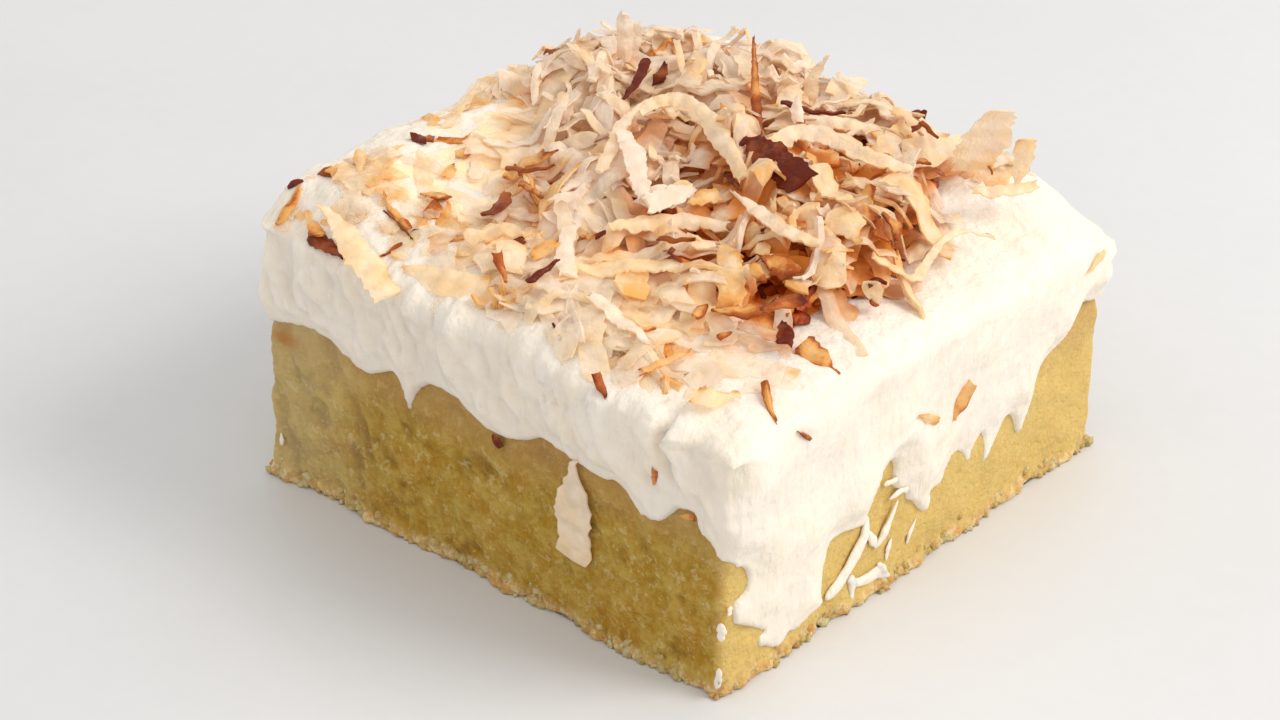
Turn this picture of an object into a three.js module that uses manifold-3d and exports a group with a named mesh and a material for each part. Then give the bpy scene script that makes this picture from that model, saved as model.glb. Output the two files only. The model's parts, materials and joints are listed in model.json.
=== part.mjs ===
// A square slice of tres leches cake: a soaked yellow sponge with four cut sides, a thick layer of
// whipped cream that laps over the sides in ragged drips and, towards +X, in a wide smear, and a heap
// of toasted shredded coconut on top.
//
// Millimetres, +Z up. The slice stands on z = 0 with its middle over the origin. The side at -Y is the
// clean knife cut, and the side at +X is the one that the cream was dragged down.
import * as THREE from "three";
import { mergeVertices } from "three/addons/utils/BufferGeometryUtils.js";
import Module from "manifold-3d";

const wasm = await Module();
wasm.setup();

// ---- Driving dimensions --------------------------------------------------------------------------

const SLICE_WIDTH = 74; // along X
const SLICE_DEPTH = 76; // along Y
const SPONGE_HEIGHT = 24.2;
const SPONGE_CORNER = 1.5; // radius of the upright edges
const SKIN_HEIGHT = 1.8; // the baked skin under the sponge
const SKIN_FLARE = 0.5; // how far the skin stands out beyond the crumb
const CRAG_DEPTH = 0.7; // relief of the cut crumb
const TOP_TUCK = 0.8; // how far the sponge draws in at its top, under the cream

const CREAM_SHOULDER = 33.5; // where the cream's sides turn over into its top
const CREAM_TILT = 1.6; // how much higher the cream stands at -X, and lower at +X
const CREAM_CROWN = 5.2; // how far the top rises above the shoulder
const CREAM_CORNER = 4.5; // radius of the upright edges
const CREAM_SWELL = 0.9; // height of the soft folds on top
const CREAM_LIP = 2.4; // length over which the cream thins out above its lower edge
const CREAM_BED = { height: 0.5, inset: 1.4 }; // the cream's unseen underside, inside the sponge
const CREAM_PEAK = { x: 21, y: 31, height: 3.4, reach: 6 }; // a tuft near the back right corner

const HEAP_HEIGHT = 6.2; // coconut above the cream at its thickest
const SHRED_COUNT = 78;
const FLAKE_COUNT = 22;
const SHRED_THICKNESS = 0.9;

const FIT_GAP = 0.3; // between one piece and the next
const SEED = 7;

// How finely each piece is divided.
const SPONGE_GRID = { x: 22, y: 23, levels: 7 };
const CREAM_GRID = { x: 26, y: 33, rowsBelow: 2, rowsAbove: 8 };
const HEAP_GRID = { around: 30, rings: 10 };
const SHRED_PARTS = 2;

// How thick the cream lies on each side, at the shoulder and down by its lower edge.
const CREAM_SKIN = {
  front: { top: 1.3, rim: 1.2 },
  right: { top: 2.5, rim: 1.4 },
  back: { top: 1.8, rim: 1.3 },
  left: { top: 1.3, rim: 1.2 },
};

// The cream's ragged lower edge on each side: [place along the side, height]. A side's place runs along
// X on the front and back and along Y on the left and right, from the middle of the side.
const LOWER_EDGE = {
  front: [
    [-38, 22.4], [-28, 23.9], [-21, 21.9], [-18, 21.4], [-14.5, 23.3], [-12.1, 19.1], [-10, 23.2],
    [-4, 23.9], [2, 21.6], [9.7, 23.9], [20, 22.7], [25.5, 20], [29.5, 23], [32.6, 23], [35, 20.4],
    [38, 18.6],
  ],
  right: [
    [-39, 18.6], [-36.6, 15.8], [-35.4, 9.6], [-31, 4.6], [-27, 2], [-20.4, 3.2], [-18.2, 10.6], [-15.2, 10],
    [-13, 3.2], [-10.6, 12.2], [-6, 17], [-2, 11.6], [1.5, 7], [6, 12.6], [9.3, 9.4], [11.6, 13],
    [14, 8.4], [17.6, 12.6], [20.4, 9.8], [24.6, 16.4], [30.6, 19.4], [32.4, 23], [39, 22.6],
  ],
  back: [
    [-38, 21], [-30, 22.8], [-24, 16.4], [-19, 21.6], [-11, 22.6], [-6, 18.2], [-1, 21.8], [8, 19.6],
    [13, 14.2], [18, 20.8], [26, 22.4], [31, 17.6], [38, 21.4],
  ],
  left: [
    [-39, 22.4], [-31, 23.4], [-26, 20.6], [-20, 23.2], [-9, 22.4], [-4, 17.8], [1, 22.8], [12, 23.4],
    [18, 20.2], [24, 22.6], [32, 19.8], [39, 21],
  ],
};

// How far the heap of coconut reaches from the middle of the slice: [degrees from +X, reach]. It runs
// out to the front right corner and to -X, and leaves the cream bare at +X.
const HEAP_EDGE = [
  [-180, 36], [-158, 38], [-139, 43], [-116, 32], [-90, 32], [-67, 40], [-47, 48], [-37, 43], [-16, 35],
  [23, 34], [63, 36], [106, 35], [139, 43], [172, 36], [180, 36],
];

// The shreds that stand out of the heap: where each lies, its turn, tip and lean in degrees, and its
// length, width and bend.
const STANDOUT_SHREDS = [
  { x: -4, y: 17, z: 46.5, yaw: 132, pitch: -42, roll: 0, length: 13.5, width: 1.8, bend: 0.2 },
  { x: 8, y: 9, z: 45.6, yaw: 70, pitch: -24, roll: 30, length: 9, width: 4.4, bend: 0.8 },
  { x: -13, y: 9, z: 45.8, yaw: 15, pitch: 0, roll: 55, length: 11, width: 3.8, bend: 2.6 },
  { x: -8, y: -2, z: 45.8, yaw: -60, pitch: 0, roll: 35, length: 10, width: 4, bend: 2 },
  { x: 11, y: 20, z: 44.8, yaw: 25, pitch: 8, roll: 10, length: 18, width: 2.8, bend: 0.6 },
  { x: 21, y: 31, z: 42.6, yaw: 60, pitch: -35, roll: 20, length: 9, width: 3, bend: 0.8 },
  { x: -31, y: 30, z: 42.2, yaw: 120, pitch: -22, roll: 20, length: 9, width: 3, bend: 1 },
];

// The flake that hangs down over the sponge at the front, from its top in the cream to its tip.
const HANGING_FLAKE = { x: 15, top: 25, tip: 9.5, width: 4.6, thickness: 0.9, sway: 1.4 };

// ---- Small helpers -------------------------------------------------------------------------------

const clamp = THREE.MathUtils.clamp;
const smooth = (t) => t * t * (3 - 2 * t);
const mix = THREE.MathUtils.lerp;

// A repeatable stream of numbers from 0 to 1.
function makeRandom(seed) {
  let state = seed;
  return () => {
    state = (state * 16807) % 2147483647;
    return state / 2147483647;
  };
}

// A repeatable value from -1 to 1 for each point of an integer lattice.
function latticeValue(i, j, k) {
  const wave = Math.sin(i * 127.1 + j * 311.7 + k * 74.7) * 43758.5453;
  return 2 * (wave - Math.floor(wave)) - 1;
}

// Smooth bumps about one unit apart, from -1 to 1.
function bumps(x, y, layer) {
  const i = Math.floor(x);
  const j = Math.floor(y);
  const u = smooth(x - i);
  const v = smooth(y - j);
  const near = mix(latticeValue(i, j, layer), latticeValue(i + 1, j, layer), u);
  const far = mix(latticeValue(i, j + 1, layer), latticeValue(i + 1, j + 1, layer), u);
  return mix(near, far, v);
}

// The value at a place along a list of [place, value] points, eased between them.
function along(points, place) {
  const next = points.findIndex(([p]) => p >= place);
  if (next <= 0) return next === 0 ? points[0][1] : points[points.length - 1][1];
  const [p0, v0] = points[next - 1];
  const [p1, v1] = points[next];
  return mix(v0, v1, smooth((place - p0) / (p1 - p0)));
}

// A closed three.js geometry as a solid that can be joined and cut.
function solidOf(geometry) {
  const bare = geometry.clone();
  bare.deleteAttribute("normal");
  bare.deleteAttribute("uv");
  const merged = mergeVertices(bare, 1e-4);
  return new wasm.Manifold(
    new wasm.Mesh({
      numProp: 3,
      vertProperties: new Float32Array(merged.attributes.position.array),
      triVerts: new Uint32Array(merged.index.array),
    }),
  );
}

// The largest single body of a solid: loose scraps are dropped and sealed hollows filled.
function wholeBody(solid) {
  return solid.decompose().reduce((best, body) => (body.volume() > best.volume() ? body : best));
}

function geometryOf(solid) {
  const mesh = solid.getMesh();
  const geometry = new THREE.BufferGeometry();
  geometry.setAttribute("position", new THREE.BufferAttribute(mesh.vertProperties, 3));
  geometry.setIndex(new THREE.BufferAttribute(mesh.triVerts, 1));
  geometry.computeVertexNormals();
  return geometry;
}

// Moves each point of a geometry to where move(point) puts it.
function reshape(geometry, move) {
  const position = geometry.attributes.position;
  const point = new THREE.Vector3();
  for (let i = 0; i < position.count; i++) {
    point.fromBufferAttribute(position, i);
    move(point);
    position.setXYZ(i, point.x, point.y, point.z);
  }
  return geometry;
}

// ---- The four sides ------------------------------------------------------------------------------

// Which way a point of the slice's outline faces: the share of the X side and of the Y side, and the
// outline pulled in round its corners.
function outlinePoint(x, y, corner) {
  const overX = Math.max(Math.abs(x) - (SLICE_WIDTH / 2 - corner), 0);
  const overY = Math.max(Math.abs(y) - (SLICE_DEPTH / 2 - corner), 0);
  const reach = Math.hypot(overX, overY);
  const outX = reach > 0 ? (Math.sign(x) * overX) / reach : 0;
  const outY = reach > 0 ? (Math.sign(y) * overY) / reach : 0;
  const pull = Math.min(1, corner / Math.max(reach, 1e-9));
  return {
    x: Math.sign(x) * (Math.abs(x) - overX * (1 - pull)),
    y: Math.sign(y) * (Math.abs(y) - overY * (1 - pull)),
    outX,
    outY,
  };
}

// Blends a quantity that each side gives for itself, by how far the point faces that side.
function sideBlend(outX, outY, x, y, valueOnSide) {
  let sum = 0;
  if (outX) sum += outX * outX * valueOnSide(outX > 0 ? "right" : "left", y);
  if (outY) sum += outY * outY * valueOnSide(outY > 0 ? "back" : "front", x);
  return sum;
}

// ---- Sponge --------------------------------------------------------------------------------------

const SIDE_LAYER = { front: 1, right: 2, back: 3, left: 4 };

// How far the cut crumb stands out at a place on a side: crags, and the flared skin at the bottom.
function crumbRelief(side, place, z) {
  const layer = SIDE_LAYER[side];
  const crags = 0.65 * bumps(place / 6.5, z / 5, layer) + 0.35 * bumps(place / 3.1, z / 2.6, layer + 10);
  const skin = SKIN_FLARE * clamp(1 - z / SKIN_HEIGHT, 0, 1) * (0.7 + bumps(place / 2.4, 0, layer + 20));
  const top = THREE.MathUtils.smoothstep(z, SPONGE_HEIGHT - 5, SPONGE_HEIGHT);
  return CRAG_DEPTH * crags * (1 - top) - TOP_TUCK * top + skin;
}

// The sponge as a solid, grown sideways and upwards by a margin.
function spongeSolid(margin) {
  const { levels } = SPONGE_GRID;
  const outline = new THREE.Shape();
  const corners = [[-1, -1], [1, -1], [1, 1], [-1, 1]];
  corners.forEach(([cx, cy], n) => {
    const [nx, ny] = corners[(n + 1) % 4];
    const steps = cx === nx ? SPONGE_GRID.y : SPONGE_GRID.x;
    for (let i = 0; i < steps; i++) {
      const t = i / steps;
      const p = outlinePoint(
        (mix(cx, nx, t) * SLICE_WIDTH) / 2,
        (mix(cy, ny, t) * SLICE_DEPTH) / 2,
        SPONGE_CORNER,
      );
      if (n === 0 && i === 0) outline.moveTo(p.x, p.y);
      else outline.lineTo(p.x, p.y);
    }
  });
  const block = new THREE.ExtrudeGeometry(outline, { depth: levels, steps: levels, bevelEnabled: false });
  reshape(block, (p) => {
    // The first level is the height of the skin, and the others share what is left.
    const z = p.z < 1 ? p.z * SKIN_HEIGHT : mix(SKIN_HEIGHT, SPONGE_HEIGHT, (p.z - 1) / (levels - 1));
    const { outX, outY } = outlinePoint(p.x, p.y, SPONGE_CORNER);
    const relief = sideBlend(outX, outY, p.x, p.y, (side, place) => crumbRelief(side, place, z));
    p.set(p.x + outX * (relief + margin), p.y + outY * (relief + margin), z);
    if (margin && z === SPONGE_HEIGHT) p.z += margin;
  });
  return solidOf(block);
}

// ---- Cream ---------------------------------------------------------------------------------------

// How far the cream's surface stands out from the plane of the cut side, at a height above its edge.
function creamStandsOut(side, place, z, above) {
  const skin = CREAM_SKIN[side];
  const height = clamp((z - SPONGE_HEIGHT / 2) / (CREAM_SHOULDER - SPONGE_HEIGHT / 2), 0, 1);
  const full = mix(skin.rim, skin.top, height) + 0.35 * bumps(place / 5, z / 9, SIDE_LAYER[side] + 30);
  const thin = clamp(above / CREAM_LIP, 0, 1);
  return full * Math.sqrt(1 - (1 - thin) ** 2);
}

const shoulderHeight = (x) => CREAM_SHOULDER - (CREAM_TILT * x) / (SLICE_WIDTH / 2);

// The height of the cream's top, which is rounded off at its sides and rises in soft folds.
function creamTop(x, y) {
  const u = clamp(Math.abs(x) / (SLICE_WIDTH / 2), 0, 1);
  const v = clamp(Math.abs(y) / (SLICE_DEPTH / 2), 0, 1);
  const rounding = ((1 - u ** 5) * (1 - v ** 5)) ** 0.4;
  const folds = bumps(x / 13 + 0.3 * Math.sin(y / 9), y / 17, 40) + 0.4 * bumps(x / 6, y / 7, 41);
  const away = Math.hypot(x - CREAM_PEAK.x, y - CREAM_PEAK.y) / CREAM_PEAK.reach;
  const peak = CREAM_PEAK.height * Math.exp(-away * away);
  return shoulderHeight(x) + rounding * (CREAM_CROWN + CREAM_SWELL * folds + peak);
}

// A block whose sides are laid out in rows: the lowest lie inside the sponge, and the others follow the
// ragged lower edge and spread from there to the shoulder.
function creamBody() {
  const { rowsBelow, rowsAbove } = CREAM_GRID;
  const rows = rowsBelow + rowsAbove;
  const block = new THREE.BoxGeometry(SLICE_WIDTH, SLICE_DEPTH, rows, CREAM_GRID.x, CREAM_GRID.y, rows);
  reshape(block, (p) => {
    const row = Math.round(p.z + rows / 2);
    const onSide = Math.abs(p.x) > SLICE_WIDTH / 2 - 1e-6 || Math.abs(p.y) > SLICE_DEPTH / 2 - 1e-6;
    const flat = outlinePoint(p.x, p.y, CREAM_CORNER);
    if (!onSide) {
      p.set(flat.x, flat.y, row === 0 ? CREAM_BED.height : creamTop(p.x, p.y));
      return;
    }
    const edge = sideBlend(flat.outX, flat.outY, p.x, p.y, (side, place) => along(LOWER_EDGE[side], place));
    let z = CREAM_BED.height;
    let out = -CREAM_BED.inset;
    if (row > 0 && row < rowsBelow) z = edge - FIT_GAP;
    if (row >= rowsBelow) {
      z = mix(edge, shoulderHeight(p.x), ((row - rowsBelow) / rowsAbove) ** 1.6);
      out = sideBlend(flat.outX, flat.outY, p.x, p.y, (side, place) =>
        creamStandsOut(side, place, z, z - edge),
      );
    }
    p.set(flat.x + flat.outX * out, flat.y + flat.outY * out, z);
  });
  return solidOf(block);
}

// The flake that hangs at the front: a strip narrowing to a rounded tip, just clear of the sponge.
function hangingFlake() {
  const { x, top, tip, width, thickness, sway } = HANGING_FLAKE;
  const half = width / 2;
  const outline = new THREE.Shape();
  outline.moveTo(-half * 0.6, top);
  outline.lineTo(-half, mix(top, tip, 0.45));
  outline.quadraticCurveTo(-half - sway, tip, -sway, tip);
  outline.quadraticCurveTo(half, mix(top, tip, 0.7), half, mix(top, tip, 0.3));
  outline.lineTo(half * 0.4, top);
  const flake = new THREE.ExtrudeGeometry(outline, {
    depth: thickness,
    bevelEnabled: false,
    curveSegments: 4,
  });
  flake.rotateX(Math.PI / 2);
  flake.translate(x, -(SLICE_DEPTH / 2) - CRAG_DEPTH - FIT_GAP, 0);
  return solidOf(flake);
}

// ---- Coconut -------------------------------------------------------------------------------------

// One shred: a strip that bends along an arc and narrows towards its ends.
function shredGeometry({ length, width, thickness, bend, taper }) {
  const radius = length / bend;
  const upper = [];
  const lower = [];
  for (let i = 0; i <= SHRED_PARTS; i++) {
    const angle = (i / SHRED_PARTS - 0.5) * bend;
    const x = radius * Math.sin(angle);
    const z = radius * (Math.cos(angle) - 1);
    upper.push(new THREE.Vector2(x, z + thickness / 2));
    lower.unshift(new THREE.Vector2(x, z - thickness / 2));
  }
  const strip = new THREE.ExtrudeGeometry(new THREE.Shape([...upper, ...lower]), {
    depth: width,
    steps: 1,
    bevelEnabled: false,
  });
  strip.translate(0, 0, -width / 2);
  strip.rotateX(Math.PI / 2);
  return reshape(strip, (p) => {
    p.y *= 1 - taper * ((2 * p.x) / length) ** 2;
  });
}

// How far out of the heap a point lies: 0 in its middle and 1 at its edge.
function heapShare(x, y) {
  const degrees = THREE.MathUtils.radToDeg(Math.atan2(y, x));
  return Math.hypot(x, y) / along(HEAP_EDGE, degrees);
}

const heapThickness = (x, y) => HEAP_HEIGHT * Math.sqrt(Math.max(0, 1 - heapShare(x, y) ** 4));

// The core of the heap: a low lumpy mound that follows the cream below it.
function heapCore() {
  const mound = new THREE.SphereGeometry(0.98, HEAP_GRID.around, HEAP_GRID.rings);
  mound.rotateX(Math.PI / 2);
  reshape(mound, (p) => {
    const reach = along(HEAP_EDGE, THREE.MathUtils.radToDeg(Math.atan2(p.y, p.x)));
    const x = reach * p.x;
    const y = reach * p.y;
    const lumps = 0.7 + 0.35 * bumps(x / 4, y / 4, 51);
    const rise = p.z > 1e-6 ? heapThickness(x, y) * lumps : 0;
    p.set(x, y, creamTop(x, y) + FIT_GAP + 0.2 + rise);
  });
  return solidOf(mound);
}

// Lays a strip on the slice: turned by yaw, tipped by pitch, leaning by roll, centred on a point.
function laidStrip(shape, centre, yaw, pitch, roll) {
  const turn = new THREE.Euler(roll, pitch, yaw, "ZYX");
  const matrix = new THREE.Matrix4().makeRotationFromEuler(turn).setPosition(...centre);
  return solidOf(shredGeometry(shape).applyMatrix4(matrix));
}

// The heap: the core with the larger shreds spread evenly over it on a spiral, the longest in the
// middle. Every so often one stands up steeply.
function coconutHeap() {
  const random = makeRandom(SEED);
  const radians = THREE.MathUtils.degToRad;
  let heap = heapCore();
  for (const shred of STANDOUT_SHREDS) {
    const shape = { ...shred, thickness: SHRED_THICKNESS, taper: 0.35 };
    const angles = [shred.yaw, shred.pitch, shred.roll].map(radians);
    heap = heap.add(laidStrip(shape, [shred.x, shred.y, shred.z], ...angles));
  }
  for (let n = 0; n < SHRED_COUNT; n++) {
    const turn = (n * 137.508 + 12 * random()) % 360;
    const around = turn > 180 ? turn - 360 : turn;
    const reach = along(HEAP_EDGE, around) * Math.sqrt((n + 0.5) / SHRED_COUNT) * 0.98;
    const x = reach * Math.cos(radians(around));
    const y = reach * Math.sin(radians(around));
    const size = 1 - 0.35 * (n / SHRED_COUNT);
    const shape = {
      length: size * mix(9, 17, random()),
      width: size * mix(2.4, 4.2, random()),
      thickness: SHRED_THICKNESS,
      bend: mix(0.2, 1.5, random()),
      taper: mix(0.1, 0.5, random()),
    };
    const lift = creamTop(x, y) + 0.9 + 0.82 * heapThickness(x, y) + 0.9 * random();
    const tip = mix(-0.35, 0.35, random()) + (n % 17 === 5 ? 0.6 : 0);
    heap = heap.add(laidStrip(shape, [x, y, lift], 2 * Math.PI * random(), tip, mix(-0.5, 0.5, random())));
  }
  return heap;
}

// Loose flakes that lie on the bare cream round the heap, half sunk in it.
function looseFlakes() {
  const random = makeRandom(SEED + 4);
  const flakes = [];
  while (flakes.length < FLAKE_COUNT) {
    const x = mix(-0.97, 0.97, random()) * (SLICE_WIDTH / 2);
    const y = mix(-0.97, 0.97, random()) * (SLICE_DEPTH / 2);
    const shape = {
      length: mix(3, 8, random()),
      width: mix(1.4, 2.8, random()),
      thickness: SHRED_THICKNESS,
      bend: mix(0.1, 0.8, random()),
      taper: mix(0.1, 0.6, random()),
    };
    const yaw = 2 * Math.PI * random();
    const turn = 0.25 * (random() - 0.5);
    if (heapShare(x, y) < 1) continue;
    const slope = (creamTop(x + 0.5 * Math.cos(yaw), y + 0.5 * Math.sin(yaw)) - creamTop(x, y)) / 0.5;
    flakes.push(laidStrip(shape, [x, y, creamTop(x, y) + 0.15], yaw, turn - Math.atan(slope), turn));
  }
  return flakes;
}

// ---- The slice -----------------------------------------------------------------------------------

const spongeGrown = spongeSolid(FIT_GAP);
const sponge = spongeSolid(0);
const coconut = wholeBody(coconutHeap().subtract(creamBody().translate(0, 0, FIT_GAP)));
let cream = creamBody().add(hangingFlake());
for (const flake of looseFlakes()) {
  if (coconut.intersect(flake).isEmpty()) cream = cream.add(flake);
}
cream = wholeBody(cream.subtract(spongeGrown));

const MATERIALS = {
  sponge: new THREE.MeshStandardMaterial({ color: 0xd2b064, roughness: 0.75, metalness: 0 }),
  cream: new THREE.MeshStandardMaterial({ color: 0xf6efe4, roughness: 0.45, metalness: 0 }),
  coconut: new THREE.MeshStandardMaterial({ color: 0xe6c9a0, roughness: 0.6, metalness: 0 }),
};

const slice = new THREE.Group();
for (const [name, solid] of Object.entries({ sponge, cream, coconut })) {
  const mesh = new THREE.Mesh(geometryOf(solid), MATERIALS[name]);
  mesh.name = name;
  slice.add(mesh);
}

// The middle of the whole slice, overhanging cream included, stands over the origin.
const middle = new THREE.Box3().setFromObject(slice).getCenter(new THREE.Vector3());
slice.position.set(-middle.x, -middle.y, 0);

export default slice;
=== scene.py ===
"""A square slice of tres leches cake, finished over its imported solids.

The solids give the slice its place and its size. Each operator here makes one piece of its finish: the
soaked crumb, the crumbs at its foot, the whipped cream that laps over its sides, and the toasted coconut
that is laid on it shred by shred.

Shapes are worked out in millimetres from the middle of the slice's foot, and brought to the frame's metres
at the end. The slice's sides are front (-Y, the clean knife cut), right (+X, where the cream was dragged
down), back and left.
"""

import json
import math
import random

import bmesh
import bpy
import numpy as np
from bpy.props import (
    FloatProperty,
    FloatVectorProperty,
    IntProperty,
    PointerProperty,
)
from mathutils import Matrix, Vector, noise

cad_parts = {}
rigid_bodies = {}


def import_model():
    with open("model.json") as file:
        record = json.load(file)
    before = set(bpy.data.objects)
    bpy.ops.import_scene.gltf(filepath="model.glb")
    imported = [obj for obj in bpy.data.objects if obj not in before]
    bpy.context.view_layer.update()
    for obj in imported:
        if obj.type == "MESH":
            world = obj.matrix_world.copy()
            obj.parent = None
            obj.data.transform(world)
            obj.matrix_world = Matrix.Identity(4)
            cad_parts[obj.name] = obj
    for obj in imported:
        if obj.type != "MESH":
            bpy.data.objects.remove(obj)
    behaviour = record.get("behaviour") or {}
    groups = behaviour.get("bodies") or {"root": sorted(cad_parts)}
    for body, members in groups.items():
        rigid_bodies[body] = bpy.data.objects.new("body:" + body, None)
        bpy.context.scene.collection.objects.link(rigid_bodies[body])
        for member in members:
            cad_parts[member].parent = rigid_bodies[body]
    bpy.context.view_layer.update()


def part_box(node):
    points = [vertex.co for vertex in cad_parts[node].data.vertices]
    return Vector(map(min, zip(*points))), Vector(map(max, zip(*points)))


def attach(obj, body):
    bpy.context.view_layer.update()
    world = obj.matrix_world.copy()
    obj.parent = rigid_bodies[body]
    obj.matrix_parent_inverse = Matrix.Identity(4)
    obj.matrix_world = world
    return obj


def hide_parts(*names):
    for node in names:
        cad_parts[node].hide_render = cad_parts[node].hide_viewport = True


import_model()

bl_info = {
    "name": "Tres Leches Cake Slice",
    "version": (1, 0, 0),
    "blender": (4, 5, 0),
    "location": "View3D > Sidebar > Cake Slice",
    "description": "A slice of soaked sponge with whipped cream and toasted coconut",
    "category": "Add Mesh",
}

# ---- Sizes, in millimetres -------------------------------------------------------------------------

MM = 0.001
SPONGE_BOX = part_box("sponge")
SLICE_MIDDLE = Vector(
    ((SPONGE_BOX[0].x + SPONGE_BOX[1].x) / 2, (SPONGE_BOX[0].y + SPONGE_BOX[1].y) / 2, 0)
)

HALF_WIDTH = 37.0
HALF_DEPTH = 38.0
SPONGE_HEIGHT = round(SPONGE_BOX[1].z / MM, 1)

SHOULDER = 33.5  # where the cream's sides turn over into its top
TILT = 1.6  # how much higher the cream stands at the left, and lower at the right
CROWN = 5.2  # how far the top rises above the shoulder
SWELL = 0.9  # height of the soft folds on top
PEAK = {"x": 21, "y": 31, "height": 3.4, "reach": 6}  # a tuft near the back right corner
BLOB = {"x": -23, "y": 30.5, "height": 3.4, "reach": 4.5}  # a rounder one that shows behind the heap
LEFT_RIM = 2.6  # how far the cream stands up along the left edge
SLUMP = 3.6  # how far the cream has sunk at the back right corner

SIDES = ("front", "right", "back", "left")
LAYER = {"front": 1, "right": 2, "back": 3, "left": 4}

# How thick the cream lies on each side, at the shoulder and low down.
CREAM_SKIN = {
    "front": {"top": 1.3, "low": 1.0},
    "right": {"top": 2.5, "low": 1.2},
    "back": {"top": 1.8, "low": 1.2},
    "left": {"top": 1.3, "low": 1.1},
}

# The cream's ragged lower edge on each side, as (place along the side, height).
LOWER_EDGE = {
    "front": (
        (-42, 22.0), (-36.5, 22.2), (-28, 23.9), (-21, 21.8), (-18.6, 21.4), (-14.9, 23.2),
        (-13.3, 22.0), (-12.1, 19.0), (-11, 22.0), (-8.4, 24), (-4.1, 23.9), (-1, 22.2), (1.9, 21.4),
        (6.3, 22.2), (9.7, 23.9), (14.1, 23.1), (18.9, 22.3), (21, 22.8), (23.3, 21.3), (25.1, 20.1),
        (27.4, 20.2), (29.9, 23), (32.6, 23.4), (33.4, 21.4), (35.2, 20.5), (36.5, 18.8), (42, 18.6),
    ),
    "right": (
        (-42, 18.6), (-37.2, 18.0), (-36.0, 17.2), (-34.7, 16.5), (-33.9, 15.0), (-34.0, 13.1),
        (-35.9, 11.9), (-36.0, 10.0), (-35.2, 9.1), (-33.5, 8.1), (-31.8, 6.8), (-30.4, 5.8),
        (-31.5, 5.5), (-31.3, 4.1), (-29.0, 2.8), (-27.4, 2.1), (-25.8, 3.2), (-24.3, 2.9),
        (-20.9, 3.7), (-19.4, 4.0), (-19.8, 6.4), (-19.6, 8.8), (-19.0, 11.2), (-18.0, 12.4),
        (-14.4, 11.9), (-12.0, 11.4), (-11.4, 12.4), (-9.8, 15.0), (-8.9, 16.2), (-8.4, 17.6),
        (-6.8, 18.2), (-5.6, 16.3), (-5.5, 13.8), (-3.6, 12.4), (-2.6, 10.6), (-1.0, 9.4), (0.7, 7.2),
        (1.7, 8.1), (1.9, 10.0), (3.6, 10.0), (4.6, 11.8), (6.0, 13.2), (7.6, 12.4), (8.8, 10.4),
        (9.7, 10.7), (10.2, 12.2), (12.2, 13.5), (12.5, 9.1), (13.2, 8.9), (14.0, 9.6), (15.6, 11.8),
        (17.0, 13.4), (19.0, 12.6), (20.5, 9.5), (21.6, 11.2), (22.8, 13.5), (23.9, 17.3), (25.6, 18.7),
        (29.6, 19.8), (30.4, 22.1), (32.0, 23.4), (36, 22.6), (42, 22.6),
    ),
    "back": (
        (-42, 21), (-36, 21.4), (-30, 22.8), (-26, 20.2), (-24, 16.4), (-22, 19.8), (-19, 21.6),
        (-11, 22.6), (-8, 21), (-6, 18.2), (-4, 21), (-1, 21.8), (4, 21.4), (8, 19.6), (11, 17.6),
        (13, 14.2), (14.6, 18), (18, 20.8), (26, 22.4), (29, 20.6), (31, 17.6), (33, 20.4), (42, 21.4),
    ),
    "left": (
        (-42, 22.2), (-36, 22.4), (-31, 23.4), (-28.4, 22.4), (-26, 20.6), (-23, 22.6), (-20, 23.2),
        (-9, 22.4), (-6, 21.4), (-4, 17.8), (-2.4, 21.6), (1, 22.8), (12, 23.4), (15, 22.4), (18, 20.2),
        (20.6, 22), (24, 22.6), (29, 21.6), (32, 19.8), (36, 20.8), (42, 21),
    ),
}

# Drips and spots of cream on the crumb: the side, then (place, height, half the width) along each of them.
CREAM_DRIPS = (
    ("right", (
        (-11.2, 12.4, 0.7), (-11.5, 9.6, 0.85), (-13.0, 7.8, 1.0), (-14.6, 6.3, 1.05),
        (-16.3, 5.0, 1.1), (-18.8, 4.1, 0.9),
    )),
    ("right", ((-14.0, 5.0, 0.8), (-13.4, 3.6, 0.7), (-13.4, 2.4, 0.5), (-13.8, 0.9, 0.2))),
    ("right", (
        (-14.2, 4.3, 0.5), (-12.2, 3.3, 0.55), (-10.2, 2.9, 0.7), (-8.2, 2.9, 0.9), (-6.3, 1.5, 0.4),
    )),
    ("right", ((-8.4, 4.2, 0.2), (-7.8, 3.2, 0.7), (-7.0, 2.0, 0.6))),
    ("right", ((-5.0, 11.6, 0.3), (-6.2, 9.7, 0.5), (-7.5, 8.0, 0.65), (-9.0, 6.6, 0.4))),
    ("right", ((-11.0, 10.0, 0.5), (-9.8, 8.2, 0.6), (-8.8, 6.6, 0.35))),
    ("right", ((-0.8, 7.0, 0.2), (-2.2, 5.6, 0.4), (-2.6, 4.1, 0.25))),
    ("right", ((-5.8, 6.6, 0.2), (-6.6, 5.3, 0.4), (-6.9, 3.8, 0.2))),
    ("right", ((-3.0, 12.6, 0.7), (-4.6, 12.7, 0.5), (-6.9, 12.5, 0.25))),
    ("right", ((-8.2, 15.2, 0.4), (-5.4, 14.7, 0.4))),
    ("right", ((-36.9, 12.4, 0.4), (-37.0, 11.2, 0.3))),
    ("front", ((36.9, 10.6, 0.5), (37.0, 9.4, 0.65), (36.9, 8.2, 0.45))),
    ("front", ((36.9, 4.4, 0.35), (36.8, 2.9, 0.5), (36.5, 1.4, 0.35))),
    ("front", ((-35.0, 6.4, 0.2), (-34.9, 5.4, 0.35), (-35.1, 4.4, 0.2))),
)

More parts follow.
